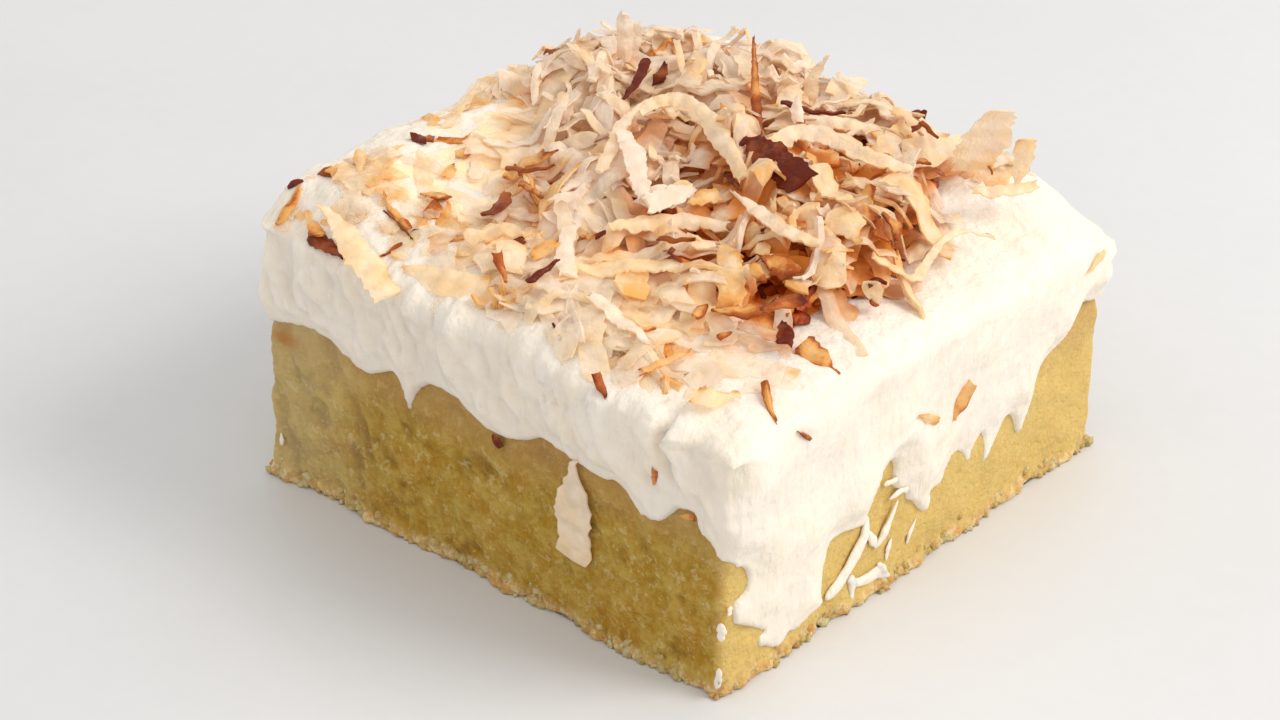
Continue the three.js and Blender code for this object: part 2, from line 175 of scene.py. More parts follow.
# How far the heap of coconut reaches from the middle: (degrees from +X, reach).
HEAP_EDGE = (
    (-180, 36), (-158, 38), (-139, 43), (-116, 32), (-90, 32), (-67, 40), (-50, 45), (-37, 38.5),
    (-25, 32.5), (-12, 30), (10, 29.5), (30, 29.5), (63, 30.5), (106, 33), (139, 43), (172, 36),
    (180, 36),
)


# ---- Small helpers ---------------------------------------------------------------------------------


def mix(low, high, share):
    return low + (high - low) * share


def smooth(share):
    return share * share * (3 - 2 * share)


def step_between(value, low, high):
    """0 below low, 1 above high, and eased in between."""
    return smooth(np.clip((value - low) / (high - low), 0, 1))


def lattice_value(i, j, layer):
    """A repeatable value from -1 to 1 for each point of a whole-numbered lattice."""
    wave = np.sin(i * 127.1 + j * 311.7 + layer * 74.7) * 43758.5453
    return 2 * (wave - np.floor(wave)) - 1


def bumps(x, y, layer):
    """Smooth bumps about one unit apart, from -1 to 1: the same ones that the solids have."""
    i, j = np.floor(x), np.floor(y)
    u, v = smooth(x - i), smooth(y - j)
    near = mix(lattice_value(i, j, layer), lattice_value(i + 1, j, layer), u)
    far = mix(lattice_value(i, j + 1, layer), lattice_value(i + 1, j + 1, layer), u)
    return mix(near, far, v)


def ripples(x, y, layer, octaves=3):
    """Bumps with finer ones on top."""
    total = 0
    for n in range(octaves):
        finer = 2.03**n
        total = total + bumps(x * finer + 7.3 * n, y * finer - 4.1 * n, layer + 3 * n) / 1.9**n
    return total / 1.5


def along(points, place):
    """The value at a place along (place, value) points, eased between them."""
    places = np.array([p for p, _ in points], float)
    values = np.array([v for _, v in points], float)
    after = np.clip(np.searchsorted(places, place, side="left"), 1, len(places) - 1)
    share = np.clip((place - places[after - 1]) / (places[after] - places[after - 1]), 0, 1)
    return mix(values[after - 1], values[after], smooth(share))


def rounded_line(points, steps=4):
    """A soft line through the points."""
    p = np.array(points, float)
    p = np.vstack([2 * p[0] - p[1], p, 2 * p[-1] - p[-2]])
    a, b, c, d = p[:-3, None], p[1:-2, None], p[2:-1, None], p[3:, None]
    t = np.linspace(0, 1, steps, endpoint=False)[None, :, None]
    curve = b + 0.5 * t * (c - a + t * (2 * a - 5 * b + 4 * c - d + t * (3 * (b - c) + d - a)))
    return np.vstack([curve.reshape(-1, p.shape[1]), p[-2]])


def depth_inside(place, height, line):
    """How far each point lies above a line that runs from end to end, and below it as a negative."""
    start, leg = line[:-1], np.diff(line, axis=0)
    x, z = place[:, None] - start[:, 0], height[:, None] - start[:, 1]
    share = np.clip((x * leg[:, 0] + z * leg[:, 1]) / (leg**2).sum(1), 0, 1)
    distance = np.sqrt(((x - share * leg[:, 0]) ** 2 + (z - share * leg[:, 1]) ** 2).min(axis=1))
    spans = (line[:-1, 0] <= place[:, None]) != (line[1:, 0] <= place[:, None])
    run = np.where(leg[:, 0] == 0, 1e-9, leg[:, 0])
    below = spans & (z > x * leg[:, 1] / run)
    return np.where(below.sum(axis=1) % 2 == 1, distance, -distance)


# ---- The shape of the slice ------------------------------------------------------------------------


def outline_point(x, y, corner):
    """The slice's outline with its corners rounded: the point, and the way that it faces."""
    over_x = np.maximum(np.abs(x) - (HALF_WIDTH - corner), 0)
    over_y = np.maximum(np.abs(y) - (HALF_DEPTH - corner), 0)
    reach = np.maximum(np.hypot(over_x, over_y), 1e-9)
    out_x, out_y = np.sign(x) * over_x / reach, np.sign(y) * over_y / reach
    pull = 1 - np.minimum(1, corner / reach)
    return x - np.sign(x) * over_x * pull, y - np.sign(y) * over_y * pull, out_x, out_y


def blend_sides(x, y, out_x, out_y, value_on_side):
    """A quantity that each side gives for itself, blended round the corners."""
    total = np.zeros_like(x)
    for side in SIDES:
        facing = {"front": -out_y, "right": out_x, "back": out_y, "left": -out_x}[side]
        on = facing > 1e-6
        place = y if side in ("right", "left") else x
        total[on] += facing[on] ** 2 * value_on_side(side, place[on], on)
    return total


def shoulder_height(x):
    return SHOULDER - TILT * x / HALF_WIDTH


def cream_top(x, y):
    """The height of the cream's top, as the solids have it."""
    u, v = np.clip(np.abs(x) / HALF_WIDTH, 0, 1), np.clip(np.abs(y) / HALF_DEPTH, 0, 1)
    rounding = ((1 - u**5) * (1 - v**5)) ** 0.4
    folds = bumps(x / 13 + 0.3 * np.sin(y / 9), y / 17, 40) + 0.4 * bumps(x / 6, y / 7, 41)
    away = np.hypot(x - PEAK["x"], y - PEAK["y"]) / PEAK["reach"]
    return shoulder_height(x) + rounding * (CROWN + SWELL * folds + PEAK["height"] * np.exp(-away * away))


def heap_share(x, y):
    """How far out of the heap a point lies: 0 in its middle and 1 at its edge."""
    return np.hypot(x, y) / along(HEAP_EDGE, np.degrees(np.arctan2(y, x)))


def crumb_relief(side, place, height):
    """How far the cut crumb stands out: the solid's crags, and the flared skin at the foot."""
    layer = LAYER[side]
    crags = 0.65 * bumps(place / 6.5, height / 5, layer)
    crags += 0.35 * bumps(place / 3.1, height / 2.6, layer + 10)
    skin = 0.5 * np.clip(1 - height / 1.8, 0, 1) * (0.7 + bumps(place / 2.4, 0 * place, layer + 20))
    top = step_between(height, SPONGE_HEIGHT - 5, SPONGE_HEIGHT)
    return 0.7 * crags * (1 - top) - 0.8 * top + skin


# ---- From a bmesh in millimetres to a piece of the slice -------------------------------------------


def points_of(bm):
    return np.array([v.co for v in bm.verts])


def move_points(bm, points):
    for vert, point in zip(bm.verts, points):
        vert.co = point


def paint(bm, name, values):
    """Gives each point of a bmesh its own value, which materials read by name."""
    layer = bm.verts.layers.float.new(name)
    for vert, value in zip(bm.verts, values):
        vert[layer] = value


def finish_piece(bm, name, material, node=None):
    """Brings a bmesh to the frame's metres and hands it over as a piece that rides on the slice."""
    bmesh.ops.scale(bm, vec=(MM, MM, MM), verts=bm.verts)
    bmesh.ops.translate(bm, vec=SLICE_MIDDLE, verts=bm.verts)
    for face in bm.faces:
        face.smooth = True
    mesh = bpy.data.meshes.new(name)
    bm.to_mesh(mesh)
    bm.free()
    mesh.materials.append(material)
    piece = bpy.data.objects.new(name, mesh)
    bpy.context.scene.collection.objects.link(piece)
    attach(piece, "root")
    if node:
        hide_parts(node)
    return piece


def crowded(count, half, share):
    """Places from -half to half that crowd towards both ends."""
    t = np.linspace(-1, 1, count + 1)
    return half * ((1 - share) * t + share * np.sin(t * math.pi / 2))


def divide_along(bm, axis, parts):
    """Divides the edges that run the whole length of a block's axis."""
    edges = [e for e in bm.edges if abs(e.verts[0].co[axis] - e.verts[1].co[axis]) > 1.5]
    bmesh.ops.subdivide_edges(bm, edges=edges, cuts=parts - 1, use_grid_fill=True)


def divided_block(divisions):
    """A closed block from -1 to 1, divided along X, Y and Z on every face."""
    bm = bmesh.new()
    bmesh.ops.create_cube(bm, size=2)
    for axis, parts in enumerate(divisions):
        divide_along(bm, axis, parts)
    return bm


# ---- Materials -------------------------------------------------------------------------------------

BLACK = (0, 0, 0)

def opaque(colour):
    """A colour with its alpha. What comes from a socket stays as it is."""
    return colour if isinstance(colour, bpy.types.NodeSocket) else (*colour, 1)


class Nodes:
    """A short way to write a node tree."""

    def __init__(self, tree):
        self.tree = tree

    def add(self, kind, inputs=None, **settings):
        node = self.tree.nodes.new(kind)
        for key, value in settings.items():
            setattr(node, key, value)
        for key, value in (inputs or {}).items():
            if isinstance(value, bpy.types.NodeSocket):
                self.tree.links.new(value, node.inputs[key])
            else:
                node.inputs[key].default_value = value
        return node

    def object_place(self):
        return self.add("ShaderNodeTexCoord").outputs["Object"]

    def own_value(self, name):
        """The value that each point of the piece was painted with."""
        return self.add("ShaderNodeAttribute", attribute_name=name).outputs["Fac"]

    def noise(self, vector, scale, detail=3.0, roughness=0.5):
        inputs = {"Vector": vector, "Scale": scale, "Detail": detail, "Roughness": roughness}
        return self.add("ShaderNodeTexNoise", inputs).outputs["Fac"]

    def remap(self, value, low, high, to_low=0.0, to_high=1.0):
        inputs = {"Value": value, 1: low, 2: high, 3: to_low, 4: to_high}
        return self.add("ShaderNodeMapRange", inputs, interpolation_type="SMOOTHSTEP").outputs["Result"]

    def math(self, operation, a, b=0.0):
        return self.add("ShaderNodeMath", {0: a, 1: b}, operation=operation).outputs["Value"]

    def mix_colour(self, share, a, b, blend="MIX"):
        inputs = {0: share, 6: opaque(a), 7: opaque(b)}
        return self.add("ShaderNodeMix", inputs, data_type="RGBA", blend_type=blend).outputs[2]

    def ramp(self, value, stops):
        node = self.add("ShaderNodeValToRGB", {"Fac": value})
        elements = node.color_ramp.elements
        while len(elements) < len(stops):
            elements.new(0.5)
        for element, (position, colour) in zip(elements, stops):
            element.position = position
            element.color = (*colour, 1)
        return node.outputs["Color"]

    def bump(self, height, distance, strength=1.0, normal=None):
        inputs = {"Height": height, "Distance": distance, "Strength": strength}
        if normal is not None:
            inputs["Normal"] = normal
        return self.add("ShaderNodeBump", inputs).outputs["Normal"]


def new_material(name, **principled):
    """A material with a Principled shader, whose constant values are set on its own sockets."""
    material = bpy.data.materials.new(name)
    material.use_nodes = True
    nodes = Nodes(material.node_tree)
    shader = material.node_tree.nodes["Principled BSDF"]
    for key, value in principled.items():
        shader.inputs[key.replace("_", " ")].default_value = value
    return material, nodes, shader


def mottle_group():
    """Soft blotches over fine specks: a mask that the crumb, the cream and the coconut all use."""
    if "Mottle" in bpy.data.node_groups:
        return bpy.data.node_groups["Mottle"]
    group = bpy.data.node_groups.new("Mottle", "ShaderNodeTree")
    faces = group.interface
    faces.new_socket("Vector", in_out="INPUT", socket_type="NodeSocketVector")
    blotch = faces.new_socket("Blotch Size", in_out="INPUT", socket_type="NodeSocketFloat")
    speck = faces.new_socket("Speck Size", in_out="INPUT", socket_type="NodeSocketFloat")
    share = faces.new_socket("Speck Share", in_out="INPUT", socket_type="NodeSocketFloat")
    faces.new_socket("Mask", in_out="OUTPUT", socket_type="NodeSocketFloat")
    blotch.default_value, speck.default_value, share.default_value = 0.006, 0.001, 0.4
    nodes = Nodes(group)
    given = nodes.add("NodeGroupInput").outputs
    broad = nodes.noise(given["Vector"], nodes.math("DIVIDE", 1.0, given["Blotch Size"]), 2.0)
    fine = nodes.noise(given["Vector"], nodes.math("DIVIDE", 1.0, given["Speck Size"]), 3.0, 0.6)
    mixed = nodes.add("ShaderNodeMix", {"Factor": given["Speck Share"], 2: broad, 3: fine})
    mask = nodes.remap(mixed.outputs["Result"], 0.36, 0.64)
    nodes.add("NodeGroupOutput", {"Mask": mask})
    return group


def mottle(nodes, vector, blotch, speck, share):
    inputs = {"Vector": vector, "Blotch Size": blotch, "Speck Size": speck, "Speck Share": share}
    return nodes.add("ShaderNodeGroup", inputs, node_tree=mottle_group()).outputs["Mask"]


def soaked_crumb():
    """Mustard crumb with soft paler and darker blotches, tan at the foot and rosy under the cream."""
    look = bpy.context.scene.cake_sponge
    material, nodes, shader = new_material(
        "Soaked Crumb",
        Subsurface_Weight=0.3,
        Subsurface_Radius=(1.0, 0.6, 0.2),
        Subsurface_Scale=0.002,
        Specular_IOR_Level=0.15,
    )
    place = nodes.object_place()
    axes = nodes.add("ShaderNodeSeparateXYZ", {0: place}).outputs
    across, height = axes["X"], axes["Z"]
    relief = nodes.own_value("relief")
    smooth_lit_side = nodes.own_value("smooth_lit_side")
    blotches = mottle(nodes, place, 0.0034, 0.0008, 0.5)
    ochre = mottle(nodes, place, 0.0060, 0.0014, 0.45)
    specks = mottle(nodes, place, 0.0013, 0.0005, 0.5)
    colour = nodes.mix_colour(ochre, look.crumb_colour, look.ochre_colour)
    pale = nodes.math("MULTIPLY", blotches, 0.8)
    colour = nodes.mix_colour(pale, colour, look.pale_colour)
    # Painted highlight and painted shade by relief: raised crumb is painted paler, and the pores and knife
    # folds darker.
    colour = nodes.mix_colour(nodes.remap(relief, 0.1, 1.0, 0.0, 0.7), colour, look.pale_colour)
    colour = nodes.mix_colour(nodes.remap(relief, -0.1, -0.9, 0.0, 0.85), colour, look.hollow_shade_colour)
    colour = nodes.mix_colour(nodes.remap(specks, 0.75, 1.0, 0.0, 0.35), colour, look.crumbs_colour)
    # The right side is painted brighter: partly its smoother soaked crumb, partly painted light where the
    # key light falls on it.
    lit_side = nodes.mix_colour(nodes.math("MULTIPLY", specks, 0.3), look.lit_side_colour, colour)
    colour = nodes.mix_colour(nodes.math("MULTIPLY", smooth_lit_side, 0.8), colour, lit_side)
    ragged = nodes.math("ADD", height, nodes.math("MULTIPLY", nodes.noise(place, 330.0), 0.0036))
    soaked = nodes.remap(ragged, 0.0165, 0.0250, 0.0, 0.65)
    colour = nodes.mix_colour(soaked, colour, look.band_colour)
    far_end = nodes.remap(across, -0.014, -0.034, 0.0, 0.4)
    colour = nodes.mix_colour(far_end, colour, look.crumbs_colour)
    stain = nodes.own_value("stain")
    colour = nodes.mix_colour(nodes.math("MULTIPLY", stain, 0.8), colour, look.stain_colour)
    skin = nodes.remap(ragged, 0.0040, 0.0026, 0.0, 0.9)
    tan = nodes.mix_colour(specks, look.skin_colour, look.skin_pale_colour)
    colour = nodes.mix_colour(skin, colour, tan)
    links = nodes.tree.links
    links.new(colour, shader.inputs["Base Color"])
    grain = nodes.math("ADD", nodes.noise(place, 1600.0, 4.0, 0.65), nodes.math("MULTIPLY", specks, 0.6))
    links.new(nodes.bump(grain, 0.00022), shader.inputs["Normal"])
    links.new(nodes.remap(specks, 0, 1, 0.45, 0.7), shader.inputs["Roughness"])
    return material


def whipped_cream():
    """White cream with a faint warm tint, soft but with fine drag marks, and painted shade between its
    ridges.
    """
    look = bpy.context.scene.cake_cream
    material, nodes, shader = new_material(
        "Whipped Cream",
        Subsurface_Weight=0.35,
        Subsurface_Radius=(1.0, 0.9, 0.75),
        Subsurface_Scale=0.0015,
        Specular_IOR_Level=0.25,
    )
    place = nodes.object_place()
    patches = mottle(nodes, place, 0.008, 0.002, 0.3)
    ridge = nodes.own_value("ridge")
    colour = nodes.mix_colour(patches, look.cream_colour, look.warm_colour)
    # Painted shade: the cream between its ridges is painted darker.
    colour = nodes.mix_colour(nodes.remap(ridge, 0.5, -1.2, 0.0, 0.8), colour, look.trough_shade_colour)
    links = nodes.tree.links
    links.new(colour, shader.inputs["Base Color"])
    stretched = nodes.add("ShaderNodeMapping", {"Vector": place, "Scale": (1.0, 1.0, 0.3)}).outputs[0]
    marks = nodes.math("ADD", nodes.noise(stretched, 900.0, 3.0), nodes.noise(place, 420.0, 3.0))
    links.new(nodes.bump(marks, 0.0004), shader.inputs["Normal"])
    links.new(nodes.remap(patches, 0, 1, 0.4, 0.6), shader.inputs["Roughness"])
    return material


def coconut_flesh(name, painted_glow, sheer=0.0):
    """Coconut, toasted as far as each of its points says.

    Its painted glow is a faint warm light of its own that stands in for light coming through it, and sheer
    is how far it can be seen through.
    """
    look = bpy.context.scene.cake_coconut
    material, nodes, shader = new_material(name, Emission_Strength=painted_glow, Specular_IOR_Level=0.22)
    toast = nodes.own_value("toast")
    tone = nodes.own_value("tone")
    grain = nodes.add("ShaderNodeUVMap", uv_map="grain").outputs["UV"]
    place = nodes.object_place()
    long_grain = nodes.add("ShaderNodeMapping", {"Vector": grain, "Scale": (0.45, 1.1, 1.0)}).outputs[0]
    fibres = nodes.noise(long_grain, 2.2, 2.0, 0.5)
    patches = mottle(nodes, place, 0.0032, 0.0009, 0.3)
    uneven = nodes.math("MULTIPLY", nodes.math("SUBTRACT", patches, 0.5), 0.22)
    streaky = nodes.math("MULTIPLY", nodes.math("SUBTRACT", fibres, 0.5), 0.07)
    share = nodes.math("ADD", nodes.math("ADD", toast, uneven), streaky)
    colour = nodes.ramp(
        share,
        (
            (0.0, look.raw_colour), (0.28, look.cream_colour), (0.48, look.gold_colour),
            (0.66, look.brown_colour), (0.95, look.burnt_colour),
        ),
    )
    rosy = nodes.mix_colour(nodes.remap(tone, 0.2, 1.0, 0.0, 0.8), colour, look.rosy_colour)
    colour = nodes.mix_colour(nodes.remap(share, 0.4, 0.15), colour, rosy)
    # Painted shade: deeper in the heap the colour is multiplied towards amber, for the golden shade in its
    # crevices.
    deep = nodes.own_value("deep")
    colour = nodes.mix_colour(deep, colour, look.amber_shade_and_glow_colour, "MULTIPLY")
    links = nodes.tree.links
    links.new(colour, shader.inputs["Base Color"])
    calm = nodes.own_value("calm")
    # Painted glow: the coconut gives off a faint warm light of its own, amber where the heap is busy and
    # paler and stronger where it has settled, for light coming through it.
    warm = nodes.mix_colour(0.6, colour, look.amber_shade_and_glow_colour, "MULTIPLY")
    warm = nodes.mix_colour(nodes.remap(calm, 0.0, 1.0), warm, colour)
    through = nodes.mix_colour(nodes.remap(calm, 0.0, 1.0, 0.65, 0.0), warm, BLACK)
    links.new(through, shader.inputs["Emission Color"])
    grains = nodes.noise(place, 1500.0, 3.0, 0.6)
    relief = nodes.math("ADD", nodes.math("MULTIPLY", fibres, 0.25), nodes.math("MULTIPLY", grains, 0.4))
    relief = nodes.math("ADD", relief, nodes.math("MULTIPLY", patches, 0.5))
    links.new(nodes.bump(relief, 0.0003), shader.inputs["Normal"])
    links.new(nodes.remap(patches, 0, 1, 0.3, 0.5), shader.inputs["Roughness"])
    if sheer:
        cover = nodes.remap(nodes.noise(place, 420.0, 1.0), 0.35, 0.65, 1 - sheer, 1 - 0.5 * sheer)
        cover = nodes.math("SUBTRACT", cover, nodes.math("MULTIPLY", calm, 0.12))
        solid = nodes.math("MAXIMUM", cover, nodes.remap(share, 0.2, 0.6))
        links.new(solid, shader.inputs["Alpha"])
    return material


def crumb_bits():
    """The loose crumbs, from pale to tan, each with its own tone."""
    look = bpy.context.scene.cake_sponge
    material, nodes, shader = new_material(
        "Crumb Bits",
        Roughness=0.65,
        Subsurface_Weight=0.2,
        Subsurface_Scale=0.001,
    )
    tone = nodes.own_value("tone")
    place = nodes.object_place()
    specks = mottle(nodes, place, 0.0012, 0.0004, 0.5)
    colour = nodes.ramp(tone, ((0.0, look.crumbs_colour), (0.6, look.pale_colour), (1.0, look.skin_colour)))
    colour = nodes.mix_colour(nodes.math("MULTIPLY", specks, 0.35), colour, look.skin_pale_colour)
    nodes.tree.links.new(colour, shader.inputs["Base Color"])
    nodes.tree.links.new(nodes.bump(specks, 0.0002), shader.inputs["Normal"])
    return material


def pale_floor():
    """A plain, faintly uneven pale surface."""
    material, nodes, shader = new_material("Pale Floor", Roughness=0.45, Specular_IOR_Level=0.3)
    place = nodes.object_place()
    cloudy = mottle(nodes, place, 0.09, 0.004, 0.25)
    colour = nodes.mix_colour(cloudy, (0.71, 0.715, 0.72), (0.735, 0.74, 0.745))
    nodes.tree.links.new(colour, shader.inputs["Base Color"])
    return material


# ---- The sponge ------------------------------------------------------------------------------------

PORE_SIZE = 5.0  # mean distance between the larger pores
PORE_DEPTH = 0.6
SPONGE_PARTS = (168, 172, 52)  # how finely its sides are divided along X, Y and Z
FULL_RELIEF = 0.45  # the relief that the crumb's colours take as 1
STAIN_X, STAIN_HEIGHT = -33.6, 20.6  # the caramel spot near the top of the front's left end


def pores(points):
    """How deep each point lies in a pore: small round pits here and there, from 0 to 1."""
    pit = np.zeros(len(points))
    for index, point in enumerate(points):
        distances, centres = noise.voronoi(Vector(point) / PORE_SIZE)
        radius = 0.05 + 0.12 * abs(noise.cell(centres[0] * 3.7))
        pit[index] = max(0.0, 1 - distances[0] / radius)
    return smooth(np.clip(pit, 0, 1))


def fractal(points, size, octaves=4):
    """Cloudy noise from -1 to 1, with its largest features about a size apart."""
    return np.array([noise.fractal(Vector(p) / size, 0.9, 2.1, octaves) for p in points])


def knife_drag(side, place, height):
    """Long soft folds that the knife left in the wet crumb, strongest near the front's left end."""
    if side != "front":
        return 0.08 * bumps(place / 4, height / 9, 95 + LAYER[side])
    here = step_between(place, -8, -26)
    leaning = place + 0.3 * height
    return (0.12 + 0.5 * here) * ripples(leaning / 2.4, height / 8, 94, 2)


def sponge_block():
    """A block without its top and bottom, whose sides are divided finely, then closed again."""
    bm = bmesh.new()
    bmesh.ops.create_cube(bm, size=2)
    level = [f for f in bm.faces if abs(f.normal.z) > 0.5]
    bmesh.ops.delete(bm, geom=level, context="FACES_ONLY")
    for axis, parts in enumerate(SPONGE_PARTS):
        divide_along(bm, axis, parts)
    bmesh.ops.holes_fill(bm, edges=[e for e in bm.edges if e.is_boundary], sides=0)
    bmesh.ops.recalc_face_normals(bm, faces=bm.faces)
    return bm


class CAKE_OT_sponge(bpy.types.Operator):
    """The soaked sponge, with its cut crumb, its pores and its baked skin"""

    bl_idname = "cake.add_sponge"
    bl_label = "Sponge"

    def execute(self, context):
        look = context.scene.cake_sponge
        bm = sponge_block()
        grid = points_of(bm)
        height = (grid[:, 2] + 1) / 2 * SPONGE_HEIGHT
        x, y, out_x, out_y = outline_point(grid[:, 0] * HALF_WIDTH, grid[:, 1] * HALF_DEPTH, 1.5)

        def crags(side, place, on):
            return crumb_relief(side, place, height[on])

        def folds(side, place, on):
            return knife_drag(side, place, height[on])

        solid = blend_sides(x, y, out_x, out_y, crags)
        dragged = blend_sides(x, y, out_x, out_y, folds)
        flat = np.stack([x, y, height], axis=1)
        calm = 1 - 0.55 * np.clip(out_x, 0, 1)
        foot = step_between(height, 3.6, 1.2)
        rough = calm * (0.3 * fractal(flat, 3.6) + 0.16 * fractal(flat, 1.2, 3))
        rough -= PORE_DEPTH * calm * pores(flat)
        crumbly = foot * (0.5 * fractal(flat, 1.5, 3) + 0.1)
        relief = (rough + dragged) * look.roughness + crumbly
        tuck = 0.5 * step_between(height, 0.6, 0.0)
        out = solid + relief - tuck
        move_points(bm, np.stack([x + out_x * out, y + out_y * out, height], axis=1))
        stain = np.exp(-(((x - STAIN_X) / 2.4) ** 2) - ((height - STAIN_HEIGHT) / 1.1) ** 2)
        stain *= y < -HALF_DEPTH + 2
        # Marks the right side, which the crumb's material paints brighter: partly smoother crumb, partly
        # painted light.
        paint(bm, "smooth_lit_side", np.clip(out_x, 0, 1))
        paint(bm, "relief", relief / FULL_RELIEF)
        paint(bm, "stain", stain)
        finish_piece(bm, "sponge_crumb", soaked_crumb(), "sponge")
        return {"FINISHED"}


class CAKE_OT_crumbs(bpy.types.Operator):
    """Loose crumbs along the foot of the sponge and on its cut sides"""

    bl_idname = "cake.add_crumbs"
    bl_label = "Crumbs"

    def execute(self, context):
        rng = random.Random(5)
        whole = bmesh.new()
        whole.verts.layers.float.new("tone")
        scratch = bpy.data.meshes.new("crumb_scratch")
        for _ in range(context.scene.cake_sponge.crumb_count):
            side = rng.choice(SIDES)
            half = HALF_DEPTH if side in ("right", "left") else HALF_WIDTH
            place = rng.uniform(-half, half)
            size = rng.uniform(0.3, 0.85) * (1.3 if rng.random() < 0.12 else 1)
            height = max(size * 0.5, abs(rng.gauss(0, 1.1)))
            stand = float(crumb_relief(side, np.array([place]), np.array([height]))[0]) - 0.45 * size
            bit = bmesh.new()
            tone = bit.verts.layers.float.new("tone")
            bmesh.ops.create_icosphere(bit, subdivisions=1, radius=1)
            own_tone = rng.random()
            for vert in bit.verts:
                vert.co *= size * rng.uniform(0.5, 1.3)
                vert[tone] = own_tone
            angle = rng.uniform(0, math.tau)
            turn = Matrix.Rotation(angle, 4, Vector((rng.random(), rng.random(), rng.random())))
            spot = side_point(side, place, height, stand)
            bmesh.ops.transform(bit, matrix=Matrix.Translation(spot) @ turn, verts=bit.verts)
            for vert in bit.verts:
                vert.co.z = max(vert.co.z, 0.0)
            join(whole, bit, scratch)
        finish_piece(whole, "foot_crumbs", crumb_bits())
        return {"FINISHED"}


def join(whole, part, scratch):
    """Adds a small bmesh to a larger one."""
    part.to_mesh(scratch)
    part.free()
    whole.from_mesh(scratch)


def side_point(side, place, height, stand):
    """A point on a side of the slice, standing out from the plane of its cut."""
    return {
        "front": Vector((place, -HALF_DEPTH - stand, height)),
        "right": Vector((HALF_WIDTH + stand, place, height)),
        "back": Vector((-place, HALF_DEPTH + stand, height)),
        "left": Vector((-HALF_WIDTH - stand, place, height)),
    }[side]


# ---- The whipped cream -----------------------------------------------------------------------------


CREAM_PARTS = (172, 180, 80)  # how finely it is divided along X, Y and Z
CUT_IN, CUT_DOWN = 0.9, 0.5  # how far inside the sponge's sides and top the cream ends
FEWEST_FACES = 1000


def lobe(away, width):
    """A soft ridge, 1 high, of which away is the distance."""
    return np.exp(-((away / width) ** 2))


def corner_folds(place, height):
    """The deep groove and the lobes of cream that fold down beside the front corner."""
    away = place - along(((26, 30.6), (29.4, 29.4), (33.1, 28.1), (36, 27.2), (40, 26.6)), height)
    groove = -2.3 * lobe(away, 0.75) + 1.0 * lobe(away - 1.9, 1.3)
    trough = 0.5 * lobe(away + 2.2, 1.4) - 0.9 * lobe(away - 4.8, 1.5)
    return (groove + trough) * step_between(height, 25.5, 28.5)


def drag_marks(side, place, height):
    """What the knife and the drips left on the cream of each side."""
    if side == "front":
        across = place + 0.35 * height
        corner = step_between(place, 6, 22)
        combed = 1.15 * ripples(across / 2.1, height / 7, 60) + 0.85 * ripples(across / 3.9, height / 4, 61)
        lumps = 0.5 * ripples(across, height / 2.0, 63, 2)
        lumps += 0.9 * corner * bumps(across / 3.3, height / 13, 62)
        return combed * (1 - 0.45 * corner) + lumps + 0.7 * corner + corner_folds(place, height)
    if side == "right":
        down = 0.6 * place + 0.8 * height
        across = 0.8 * place - 0.6 * height
        return 0.35 * ripples(across / 2.4, down / 9, 64) + 0.6 * bumps(place / 7, height / 6, 65)
    across = place + 0.2 * height
    return 0.8 * ripples(across / 2.2, height / 7, 66 + LAYER[side])


def cream_stands_out(side, place, height):
    """How far the cream's surface stands out from the cut side. Past its edge it dives into the crumb."""
    skin = CREAM_SKIN[side]
    line = rounded_line(LOWER_EDGE[side])
    wander = 0.35 * ripples(place / 1.3, height / 1.3, 70 + LAYER[side], 2)
    if side == "right":
        wander = 0.5 * wander
    depth = depth_inside(place + wander, height + 0.6 * wander, line)
    climb = np.clip((height - 12) / (SHOULDER - 12), 0, 1)
    full = mix(skin["low"], skin["top"], climb) + 0.35 * bumps(place / 5, height / 9, LAYER[side] + 30)
    full = np.maximum(full + 0.2 + drag_marks(side, place, height), 0.4)
    lip = np.clip(depth / 0.8, 0, 1)
    thin = 0.12 + 0.38 * np.sqrt(1 - (1 - lip) ** 2)
    standing = thin + np.maximum(full - 0.5, 0) * step_between(depth, 0.3, 4.2)
    return np.where(depth > 0, standing, -1.3 * np.clip(-depth / 0.5, 0, 1))


